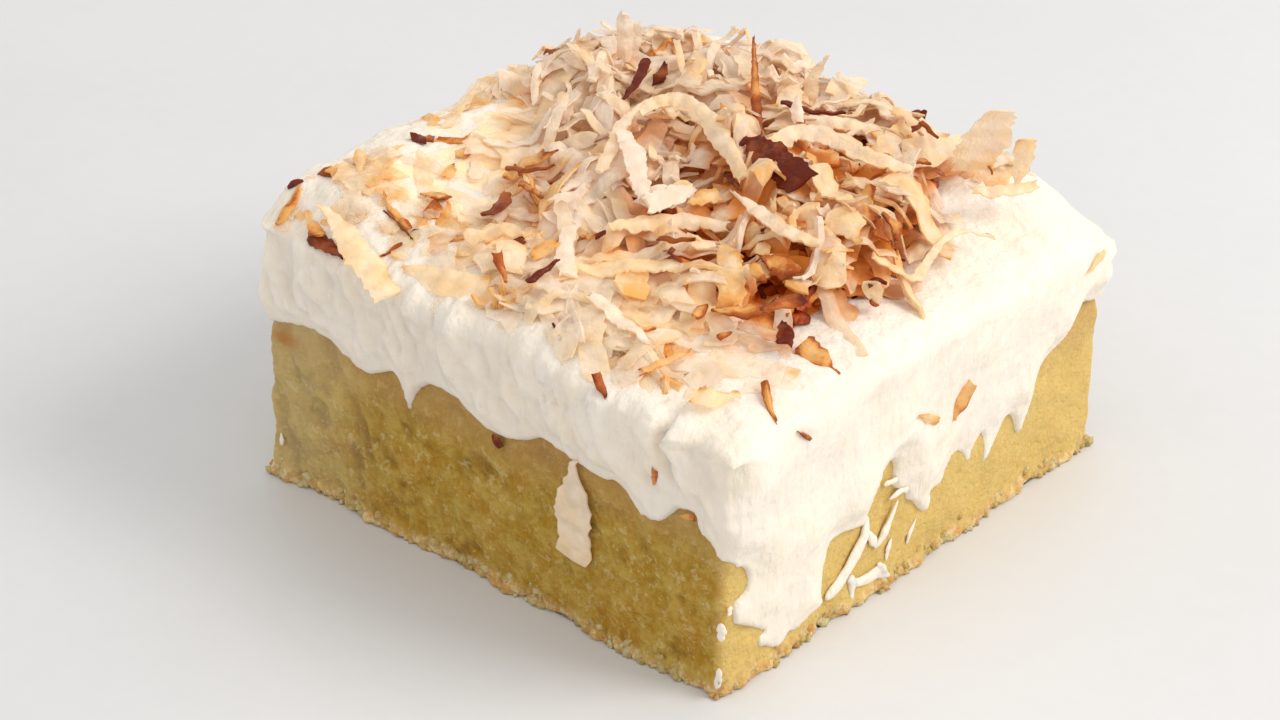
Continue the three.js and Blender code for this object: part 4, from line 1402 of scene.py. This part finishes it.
# Shreds that stand up, arch or lie just so: each along its own points, with its width, its lean in
# degrees and its toasting.
HAND_BENT = {
    "lower band": (
        ((4.8, -21.1, 43.2), (7.1, -16.6, 42.9), (10.0, -12.6, 42.5), (14.1, -10.3, 42.2)),
        2.2, 30, 0.1,
    ),
    "left ribbon": (
        ((-5.0, -18.9, 43.6), (-4.0, -14.7, 44.4), (-3.0, -10.8, 45.2), (-2.1, -7.4, 46.0)),
        2.6, 20, -0.02,
    ),
    "arch rise": (
        ((-2.4, -14.8, 45.6), (-4.5, -10.1, 46.4), (-7.1, -5.4, 47.0), (-8.4, -0.4, 47.4)),
        1.7, 0, 0.02,
    ),
    "white flake": (((6.4, -16.5, 45.1), (7.0, -13.3, 44.7), (7.1, -8.5, 44.2)), 3.0, 30, -0.08),
    "upper white": (
        ((7.3, 12.7, 46.0), (9.8, 16.5, 45.2), (14.0, 18.8, 44.4), (19.4, 19.0, 43.6)),
        2.5, 20, 0.03,
    ),
    "long white": (
        (
            (10.1, 2.1, 46.6), (9.8, 5.5, 47.2), (11.6, 8.3, 47.2),
            (15.4, 9.5, 46.8), (19.6, 10.0, 46.0), (23.7, 11.7, 45.0),
        ),
        2.6, 25, 0.0,
    ),
    "white stub": (((8.0, 10.4, 46.8), (6.7, 11.5, 49.2)), 1.5, 0, -0.06),
    "arch leg": (
        ((5.3, -15.8, 45.0), (2.6, -13.3, 46.2), (-1.2, -10.2, 47.0), (-5.6, -7.3, 47.2)),
        2.5, 0, -0.04,
    ),
    "golden flake": (((24.5, -3.2, 45.2), (26.9, -4.4, 44.7), (29.9, -6.4, 44.1)), 4.4, 15, 0.22),
    "diag ribbon": (
        ((12.1, -7.4, 45.1), (17.3, -9.1, 44.9), (22.6, -10.5, 44.7), (26.7, -9.8, 44.4)),
        1.8, 15, 0.02,
    ),
    "dark needle": (((4.3, 12.1, 47.6), (8.5, 12.4, 47.6), (10.9, 15.9, 47.0)), 0.9, 0, 0.95),
    "dark flake": (((6.7, 1.2, 47.4), (12.3, -0.3, 47.4), (18.3, -1.9, 46.4)), 4.4, 35, 0.93),
    "arch crown": (
        ((-8.3, -0.5, 47.2), (-6.3, 3.2, 47.8), (-1.2, 2.8, 47.8), (5.4, -0.9, 47.2), (11.9, -5.1, 45.8)),
        2.5, 25, 0.1,
    ),
    "brown stick": (((5.6, 5.3, 45.6), (0.4, 11.3, 48.4), (-5.6, 18.1, 51.4)), 1.3, 0, 0.74),
    "black flake": (((-17.4, 11.3, 47.0), (-15.6, 7.4, 45.8), (-14.7, 3.4, 44.8)), 1.3, 0, 1.05),
    "dark bit": (((7.1, -2.5, 44.3), (13.0, -7.0, 45.4)), 1.0, 0, 0.95),
    "brown edge": (((10.1, -18.3, 42.5), (12.8, -18.7, 43.2), (14.9, -17.9, 43.9)), 0.9, 20, 0.6),
    "brown patch": (((22.1, -14.6, 42.7), (23.7, -13.1, 42.2), (26.4, -14.0, 41.7)), 2.8, 25, 0.6),
    # The brown low flakes lie where the heap's edge is in shade: their brown is partly painted shade.
    "brown low": (((24.0, -25.6, 41.0), (26.8, -23.6, 41.2), (28.4, -21.0, 41.4)), 2.0, 10, 0.5),
    "brown low end": (((28.2, -22.0, 41.2), (30.8, -17.8, 41.9)), 1.8, 10, 0.66),
    "brown crease": (((22.6, -16.7, 43.2), (25.7, -18.4, 42.4)), 1.4, 15, 0.6),
    "dark small": (((29.7, -19.2, 39.0), (32.0, -22.2, 38.0)), 2.1, 0, 0.95),
    "shoulder flake": (((31.7, -18.8, 36.9), (34.3, -18.9, 35.9), (36.9, -18.7, 34.9)), 2.8, 25, 0.62),
    "ring": (((28.9, -0.5, 45.0), (29.5, -1.8, 43.8), (30.9, -0.7, 42.5)), 1.5, 10, 0.55),
    "ring side": (((28.7, 0.2, 44.9), (30.0, 0.9, 43.7), (31.1, -0.3, 42.6)), 1.4, 10, 0.5),
    "right curl": (
        (
            (31.2, -5.3, 42.6), (32.6, -2.9, 40.6), (33.4, 0.7, 38.0), (32.5, 4.0, 38.4),
            (31.4, 8.7, 39.0), (31.8, 12.7, 39.2), (34.1, 15.3, 38.2),
        ),
        1.2, 20, 0.14,
    ),
    "dark ends flake": (((32.6, -6.7, 40.1), (33.0, -6.4, 37.4)), 2.2, 0, 0.12),
    "dark end a": (((32.3, -7.3, 40.1), (32.6, -5.8, 40.2), (34.0, -5.7, 40.2)), 1.0, 0, 0.9),
    "dark end b": (((32.7, -6.9, 38.0), (33.4, -6.5, 37.3)), 1.2, 0, 0.85),
    "left slab": (
        ((-29.3, -35.6, 39.8), (-24.1, -36.7, 38.8), (-18.0, -39.1, 37.6), (-12.7, -41.0, 35.6)),
        3.7, 10, 0.14,
    ),
    "slab rim": (((-32.4, -34.6, 38.1), (-29.6, -36.4, 37.9), (-26.6, -38.0, 37.6)), 1.8, 0, 0.42),
    "left dark": (((-28.0, -37.8, 37.1), (-25.0, -38.5, 36.9), (-21.7, -39.4, 36.7)), 2.2, 20, 0.95),
    "sheer slab": (((-13.8, -36.9, 37.2), (-8.0, -36.6, 37.4), (-2.2, -34.9, 37.7)), 3.4, 35, 0.16),
    "brown hook": (((-12.5, -20.0, 41.4), (-11.3, -22.6, 40.9), (-11.9, -25.0, 40.4)), 2.2, 15, 0.8),
    "golden tip": (((-27.8, -16.5, 40.6), (-23.2, -15.7, 41.7)), 2.0, 15, 0.42),
    "brown stripe": (((-15.6, -17.0, 42.6), (-12.5, -16.1, 42.9), (-10.9, -13.9, 43.2)), 0.8, 10, 0.7),
    "brown rim": (((-12.6, -17.9, 42.0), (-9.6, -18.5, 42.0), (-6.1, -19.6, 42.0)), 0.9, 10, 0.55),
    "thin brown thread": (
        ((-23.7, -30.8, 39.3), (-20.1, -31.6, 39.2), (-15.7, -33.3, 39.1)),
        0.5, 0, 0.68,
    ),
    "thread below": (((-16.5, -34.2, 38.5), (-16.9, -35.4, 38.0), (-17.2, -36.9, 37.6)), 0.6, 0, 0.6),
    "front gold": (((29.7, -35.4, 36.8), (31.9, -34.6, 36.6), (33.0, -31.8, 36.3)), 2.4, 30, 0.22),
    "front tan": (((22.2, -35.8, 36.6), (24.6, -30.0, 37.9)), 0.9, 20, 0.4),
    "orange spike": (((34.2, -28.3, 36.6), (36.0, -29.9, 35.2), (37.8, -30.7, 33.9)), 1.0, 0, 0.5),
    "comma": (((-32.3, -4.3, 39.6), (-27.5, -7.9, 41.0)), 1.2, 0, 0.8),
    "brown oval": (((-2.6, -32.5, 41.6), (-0.6, -33.4, 39.0)), 1.3, 0, 0.62),
    "golden chip": (((-1.1, -28.1, 39.9), (0.4, -25.0, 41.1)), 2.0, 20, 0.42),
    "dark sliver": (((3.0, -33.0, 40.3), (3.7, -28.6, 41.4)), 1.1, 0, 1.0),
    "golden tail": (((0.6, -20.9, 40.1), (4.2, -22.7, 42.5)), 1.5, 0, 0.4),
    "dark dot": (((4.4, -23.1, 42.7), (5.4, -22.5, 43.1)), 1.3, 0, 1.0),
    "golden spot": (((21.3, -25.4, 39.2), (21.2, -23.1, 39.5)), 1.6, 10, 0.55),
    "brown spot": (((25.7, -26.4, 38.4), (26.4, -24.8, 38.9)), 0.9, 10, 0.7),
    "small brown spot": (((17.3, 14.8, 43.8), (19.5, 14.3, 44.4)), 0.7, 10, 0.75),
    "golden bean": (((22.0, 16.3, 44.0), (23.6, 16.5, 44.2)), 1.2, 10, 0.5),
    "dark bean": (((18.3, 19.9, 45.7), (19.1, 20.7, 46.5)), 1.1, 10, 0.9),
    "brown rim at the back": (((18.8, 20.8, 46.9), (21.4, 20.9, 45.4)), 0.7, 10, 0.7),
    "back shred": (((-23.3, 13.8, 44.5), (-23.4, 13.8, 48.0), (-23.4, 13.7, 51.1)), 2.2, 0, -0.06),
    "back shred tip": (((-22.8, 15.2, 44.5), (-22.7, 15.2, 47.0), (-22.7, 15.3, 49.7)), 1.6, 0, -0.06),
    "low flake": (((18.3, 18.7, 43.4), (21.2, 20.9, 43.6), (22.3, 25.7, 43.6)), 4.6, 30, 0.03),
    "broad flake": (((24.8, 23.1, 41.5), (26.2, 24.0, 45.4), (28.3, 25.1, 49.8)), 6.4, 0, 0.03),
    "upright flake": (((1.6, 20.6, 44.0), (2.0, 21.0, 47.2), (3.6, 22.0, 50.9)), 2.0, 0, 0.12),
    "fringed flake": (((31.5, 23.9, 40.5), (31.9, 24.1, 44.0), (32.4, 24.3, 47.4)), 2.6, 0, 0.16),
    "curl end": (((28.6, 19.3, 41.2), (31.5, 21.4, 41.4), (33.3, 25.8, 41.2)), 1.8, 20, 0.14),
    "orange spot": (((25.5, 26.3, 42.8), (27.5, 24.4, 41.4)), 1.3, 0, 0.46),
    "front oval": (((18.6, -39.2, 36.4), (20.7, -39.8, 34.2)), 1.3, 0, 0.66),
}


class CAKE_OT_top_shreds(bpy.types.Operator):
    """The shreds that stand out on top: the arch, the brown stick, the dark flakes, the long white one"""

    bl_idname = "cake.add_top_shreds"
    bl_label = "Shreds on Top"

    def execute(self, context):
        rng = random.Random(77)
        heap = Heap("coconut_on_top")
        ground.ceiling[:] = NO_CEILING
        for x, y, yaw, length, width, swerve, toast in HAND_LAID:
            shape = random_shape(KINDS["coconut_pale"], rng)
            shape.update(length=length, width=width, toast=toast, tone=1.0 if toast < 0.1 else 0.3)
            shape.update(taper=0.15 if width > 2 else 0.4, swerve=math.radians(swerve))
            shape.update(tip=0, curl=0.1, lean=0.0, end_toast=0.05)
            shape.update(parts=max(6, round(length * 2)), lanes=4, torn=0.4, wavy=0.18)
            drop_shred(heap, shape, x, y, math.radians(yaw))
        for spine, width, lean, toast in HAND_BENT.values():
            line = rounded_line(spine)
            length = float(np.linalg.norm(np.diff(line, axis=0), axis=1).sum())
            shape = random_shape(KINDS["coconut_pale"], rng)
            shape.update(length=length, width=width, toast=toast, tone=0.9 if toast < 0 else 0.3)
            shape.update(taper=0.45, wave=0.12, slant=0.0, end_toast=0.0)
            shape.update(parts=max(6, round(length * 2.2)), lanes=4, torn=0.4, wavy=0.2)
            shape["rim_toast"] = 0.3 if 0.15 < toast < 0.7 else 0.1
            if width < 1.4:
                shape.update(taper=0.17, waist=-1.0, wavy=0.16, torn=0.3)
            if width > 3 and toast < 0.3:
                shape.update(torn=0.15)
            add_shred(heap, shape, line, headings(line), np.full(len(line), math.radians(lean)))
        heap.finish(0.108, 0.42)
        mark_depths()
        return {"FINISHED"}


# Flakes on the sides: side, place, height, degrees from level, length, width, toasting.
ON_THE_SIDES = (
    ("right", 4.8, 21.6, 52, 5.2, 2.9, 0.5), ("right", -2.9, 22.8, -33, 5.2, 1.2, 0.36),
    ("right", 31, 30.6, 20, 4.4, 1.2, 0.3), ("right", -27.6, 31.7, -40, 2.4, 0.6, 0.66),
    ("front", 2.6, 20.8, -40, 1.8, 1.2, 0.9), ("front", 31.8, 22.8, 10, 1.8, 0.8, 0.6),
    ("front", 28, 27, 80, 2.4, 0.9, 0.55), ("back", -12, 27, -50, 5, 2.6, 0.3),
    ("back", 14, 23, 30, 4, 2, 0.5), ("left", 10, 26, -60, 5, 2.8, 0.2),
    ("left", -18, 22, 20, 3, 1.6, 0.7), ("back", 26, 30, 10, 3, 2, 0.6),
    ("left", 24, 30, -20, 5, 3, 0.1),
)

# The flake that hangs at the front: side, (place, height), (sideways, up), length, width, toasting, gap.
HANGING_FLAKE = ("front", (14.9, 16.6), (0.02, -1.0), 13.0, 5.6, 0.03, 0.3)


class CAKE_OT_side_shreds(bpy.types.Operator):
    """The few flakes that stick to the sides, and the pale one that hangs from the cream at the front"""

    bl_idname = "cake.add_side_shreds"
    bl_label = "Shreds on the Sides"

    def execute(self, context):
        rng = random.Random(78)
        heap = Heap("coconut_on_the_sides")
        for side, place, height, angle, length, width, toast in ON_THE_SIDES:
            turn = math.radians(angle)
            way = (math.cos(turn), math.sin(turn))
            self.lay(heap, rng, side, (place, height), way, length, width, toast, 0.15)
        self.lay(heap, rng, *HANGING_FLAKE)
        heap.finish(0.048, 0.35)
        return {"FINISHED"}

    def lay(self, heap, rng, side, centre, way, length, width, toast, gap):
        """Lays a shred flat against a side, along a way that is given as (sideways, up)."""
        t = np.linspace(-0.5, 0.5, 9) * length
        place, height = centre[0] + way[0] * t, centre[1] + way[1] * t
        stand = np.maximum(cream_stands_out(side, place, height), 0.35)
        stand = np.convolve(np.pad(stand, 2, mode="edge"), np.ones(5) / 5, mode="valid") + gap
        spine = np.array([side_point(side, p, h, s) for p, h, s in zip(place, height, stand)])
        shape = random_shape(KINDS["coconut_pale"], rng)
        shape.update(length=length, width=width, toast=toast, taper=0.6, waist=0.35, wave=0.08, cup=0.1)
        shape.update(end_toast=0.0, rim_toast=0.08, slant=0.3)
        shape.update(parts=max(6, round(length * 1.8)), lanes=4, torn=0.15)
        add_upright(heap, shape, spine, side)


def headings(line):
    """The way that a line runs, seen from above.

    One that stands upright turns its flat side to the front corner.
    """
    run = np.gradient(line, axis=0)
    if abs(line[-1, 2] - line[0, 2]) > 0.8 * np.linalg.norm(line[-1] - line[0]):
        return np.full(len(line), math.radians(130))
    return np.unwrap(np.arctan2(run[:, 1], run[:, 0]))


def add_upright(heap, shape, spine, side):
    """A shred whose flat side faces out from a side of the slice."""
    out = side_point(side, 0, 0, 1) - side_point(side, 0, 0, 0)
    ahead = way_ahead(spine)
    across = np.cross(np.array(out), ahead)
    heading = np.arctan2(ahead[:, 1], ahead[:, 0])
    level, upward = level_and_upward(ahead, heading)
    lean = np.arctan2((across * upward).sum(axis=1), (across * level).sum(axis=1))
    add_shred(heap, shape, spine, heading, np.unwrap(lean))


# ---- The stage -------------------------------------------------------------------------------------

# In metres.
FLOOR_HALF = 1.5
KEY_PLACE = (0.62, 0.34, 0.62)
KEY_AIM = (0, 0, 0.02)
KEY_SIZE = 0.45
KEY_COLOUR = (1.0, 0.955, 0.90)
ROOM_COLOUR = (1.0, 0.99, 0.98)


def add_area_light(name, place, aim, size, power, colour):
    data = bpy.data.lights.new(name, "AREA")
    data.shape = "SQUARE"
    data.size = size
    data.energy = power
    data.color = colour
    lamp = bpy.data.objects.new(name, data)
    lamp.location = place
    lamp.rotation_euler = (Vector(aim) - Vector(place)).to_track_quat("-Z", "Y").to_euler()
    bpy.context.scene.collection.objects.link(lamp)


def add_camera():
    """The camera, standing where the slice looks as it was seen."""
    look = bpy.context.scene.cake_stage
    azimuth, elevation, roll = look.azimuth, look.elevation, look.roll
    flat = math.cos(elevation)
    back = Vector((math.sin(azimuth) * flat, -math.cos(azimuth) * flat, math.sin(elevation)))
    right = Vector((math.cos(azimuth), math.sin(azimuth), 0))
    up = back.cross(right)
    turned_right = right * math.cos(roll) - up * math.sin(roll)
    turned_up = right * math.sin(roll) + up * math.cos(roll)
    turn = Matrix((turned_right, turned_up, back)).transposed().to_4x4()
    aim = Vector(look.aim) + SLICE_MIDDLE
    data = bpy.data.cameras.new("camera")
    data.lens = look.lens
    data.clip_start = 0.01
    camera = bpy.data.objects.new("camera", data)
    camera.matrix_world = Matrix.Translation(aim + back * look.distance) @ turn
    bpy.context.scene.collection.objects.link(camera)
    bpy.context.scene.camera = camera


class CAKE_OT_stage(bpy.types.Operator):
    """The pale floor, the soft light and the camera"""

    bl_idname = "cake.add_stage"
    bl_label = "Stage"

    def execute(self, context):
        look = context.scene.cake_stage
        bm = bmesh.new()
        bmesh.ops.create_grid(bm, x_segments=1, y_segments=1, size=FLOOR_HALF)
        mesh = bpy.data.meshes.new("floor")
        bm.to_mesh(mesh)
        bm.free()
        mesh.materials.append(pale_floor())
        floor = bpy.data.objects.new("floor", mesh)
        context.scene.collection.objects.link(floor)
        add_area_light("key", KEY_PLACE, KEY_AIM, KEY_SIZE, look.key_power, KEY_COLOUR)
        world = bpy.data.worlds.new("room")
        world.use_nodes = True
        world.node_tree.nodes["Background"].inputs["Color"].default_value = opaque(ROOM_COLOUR)
        world.node_tree.nodes["Background"].inputs["Strength"].default_value = look.room_strength
        context.scene.world = world
        context.scene.view_settings.view_transform = "Standard"
        add_camera()
        return {"FINISHED"}


# ---- Settings --------------------------------------------------------------------------------------


def colour_setting(name, description, default):
    return FloatVectorProperty(
        name=name, description=description, subtype="COLOR", size=3, min=0, max=1, default=default
    )


class SpongeSettings(bpy.types.PropertyGroup):
    """The sponge's crumb and colours"""

    roughness: FloatProperty(
        name="Crumb Roughness",
        description="Depth of the crumb's pores and crags",
        default=1.0,
        min=0,
        max=2,
    )
    crumb_count: IntProperty(
        name="Loose Crumbs", description="How many crumbs lie along the foot", default=560, min=0
    )
    crumb_colour: colour_setting("Crumb", "The soaked mustard crumb", (0.39, 0.225, 0.013))
    ochre_colour: colour_setting("Ochre Crumb", "The warmer blotches of the crumb", (0.45, 0.22, 0.015))
    # The pale crumb colour also paints the highlight on the crumb's ridges.
    pale_colour: colour_setting("Pale Crumb", "The paler blotches and ridges", (0.58, 0.40, 0.09))
    crumbs_colour: colour_setting("Crumb Specks", "Fine specks that catch the light", (0.72, 0.60, 0.33))
    # The right side's colour is partly painted light where the key light falls.
    lit_side_colour: colour_setting("Smooth Side", "The smoother crumb of the right side", (0.81, 0.58, 0.21))
    # The hollows colour is painted shade in the pores and the knife's folds.
    hollow_shade_colour: colour_setting("Hollows", "The inside of the pores", (0.27, 0.13, 0.012))
    band_colour: colour_setting("Soaked Band", "The rosy band under the cream", (0.52, 0.31, 0.12))
    skin_colour: colour_setting("Baked Skin", "The tan skin at the foot", (0.60, 0.29, 0.07))
    stain_colour: colour_setting("Caramel Spot", "The browned spot near one corner", (0.46, 0.16, 0.02))
    skin_pale_colour: colour_setting("Pale Skin", "The paler patches of the skin", (0.84, 0.64, 0.34))


class CreamSettings(bpy.types.PropertyGroup):
    """The cream's colours"""

    cream_colour: colour_setting("Cream", "The whipped cream", (0.95, 0.86, 0.755))
    warm_colour: colour_setting("Warm Cream", "Cream that milk and coconut tint", (0.94, 0.83, 0.69))
    # The troughs colour is painted shade between the cream's ridges.
    trough_shade_colour: colour_setting("Troughs", "The cream between its ridges", (0.85, 0.78, 0.68))


class CoconutSettings(bpy.types.PropertyGroup):
    """The coconut's amount and colours"""

    amount: FloatProperty(
        name="Amount", description="Share of the usual number of shreds", default=1.0, min=0, max=1.5
    )
    heap_height: FloatProperty(
        name="Heap Height",
        description="Coconut above the cream at its thickest",
        default=0.0062,
        unit="LENGTH",
    )
    raw_colour: colour_setting("Raw", "Untoasted coconut", (1.0, 0.83, 0.61))
    rosy_colour: colour_setting("Rosy", "The pinkish white of some shreds", (1.0, 0.87, 0.73))
    cream_colour: colour_setting("Creamy", "Barely toasted coconut", (1.0, 0.73, 0.38))
    gold_colour: colour_setting("Golden", "Golden coconut", (0.90, 0.47, 0.13))
    brown_colour: colour_setting("Browned", "Browned coconut", (0.43, 0.10, 0.014))
    burnt_colour: colour_setting("Dark", "The darkest edges", (0.13, 0.014, 0.002))
    # Amber is both the painted shade deep in the heap and the tint of the painted glow.
    amber_shade_and_glow_colour: colour_setting("Amber", "What light deep in the heap takes on", (0.85, 0.39, 0.10))


class StageSettings(bpy.types.PropertyGroup):
    """The camera's place and the light"""

    azimuth: FloatProperty(
        name="Azimuth",
        description="The camera's turn round the slice",
        default=math.radians(40.05),
        subtype="ANGLE",
    )
    elevation: FloatProperty(
        name="Elevation",
        description="The camera's height angle",
        default=math.radians(29.83),
        subtype="ANGLE",
    )
    roll: FloatProperty(
        name="Roll", description="The camera's tilt", default=math.radians(-1.2), subtype="ANGLE"
    )
    lens: FloatProperty(name="Lens", description="Focal length in millimetres", default=84.94)
    distance: FloatProperty(
        name="Distance", description="From the camera to its aim", default=0.37282, unit="LENGTH"
    )
    aim: FloatVectorProperty(
        name="Aim",
        description="What the camera looks at",
        default=(0.0018057, -0.0115784, 0.02),
        subtype="TRANSLATION",
    )
    key_power: FloatProperty(
        name="Key Light", description="Power of the key light", default=4.95, unit="POWER"
    )
    room_strength: FloatProperty(
        name="Room Light", description="Strength of the light from all round", default=0.82
    )


# ---- The add-on ------------------------------------------------------------------------------------

OPERATORS = (
    CAKE_OT_stage,
    CAKE_OT_sponge,
    CAKE_OT_crumbs,
    CAKE_OT_cream,
    CAKE_OT_drips,
    CAKE_OT_heap,
    CAKE_OT_shreds,
    CAKE_OT_top_shreds,
    CAKE_OT_side_shreds,
)
SETTINGS = {
    "cake_sponge": SpongeSettings,
    "cake_cream": CreamSettings,
    "cake_coconut": CoconutSettings,
    "cake_stage": StageSettings,
}


class CAKE_PT_panel(bpy.types.Panel):
    """The pieces of the slice and their settings"""

    bl_idname = "CAKE_PT_panel"
    bl_label = "Cake Slice"
    bl_space_type = "VIEW_3D"
    bl_region_type = "UI"
    bl_category = "Cake Slice"

    def draw(self, context):
        for operator in OPERATORS:
            self.layout.operator(operator.bl_idname)
        for name, group in SETTINGS.items():
            box = self.layout.box()
            for setting in group.__annotations__:
                box.prop(getattr(context.scene, name), setting)


def register():
    for group in SETTINGS.values():
        bpy.utils.register_class(group)
    for name, group in SETTINGS.items():
        setattr(bpy.types.Scene, name, PointerProperty(type=group))
    for cls in (*OPERATORS, CAKE_PT_panel):
        bpy.utils.register_class(cls)


def unregister():
    for cls in (CAKE_PT_panel, *reversed(OPERATORS)):
        bpy.utils.unregister_class(cls)
    for name, group in SETTINGS.items():
        delattr(bpy.types.Scene, name)
        bpy.utils.unregister_class(group)


def main():
    register()
    for operator in OPERATORS:
        group, name = operator.bl_idname.split(".")
        getattr(getattr(bpy.ops, group), name)()


if __name__ == "__main__":
    main()
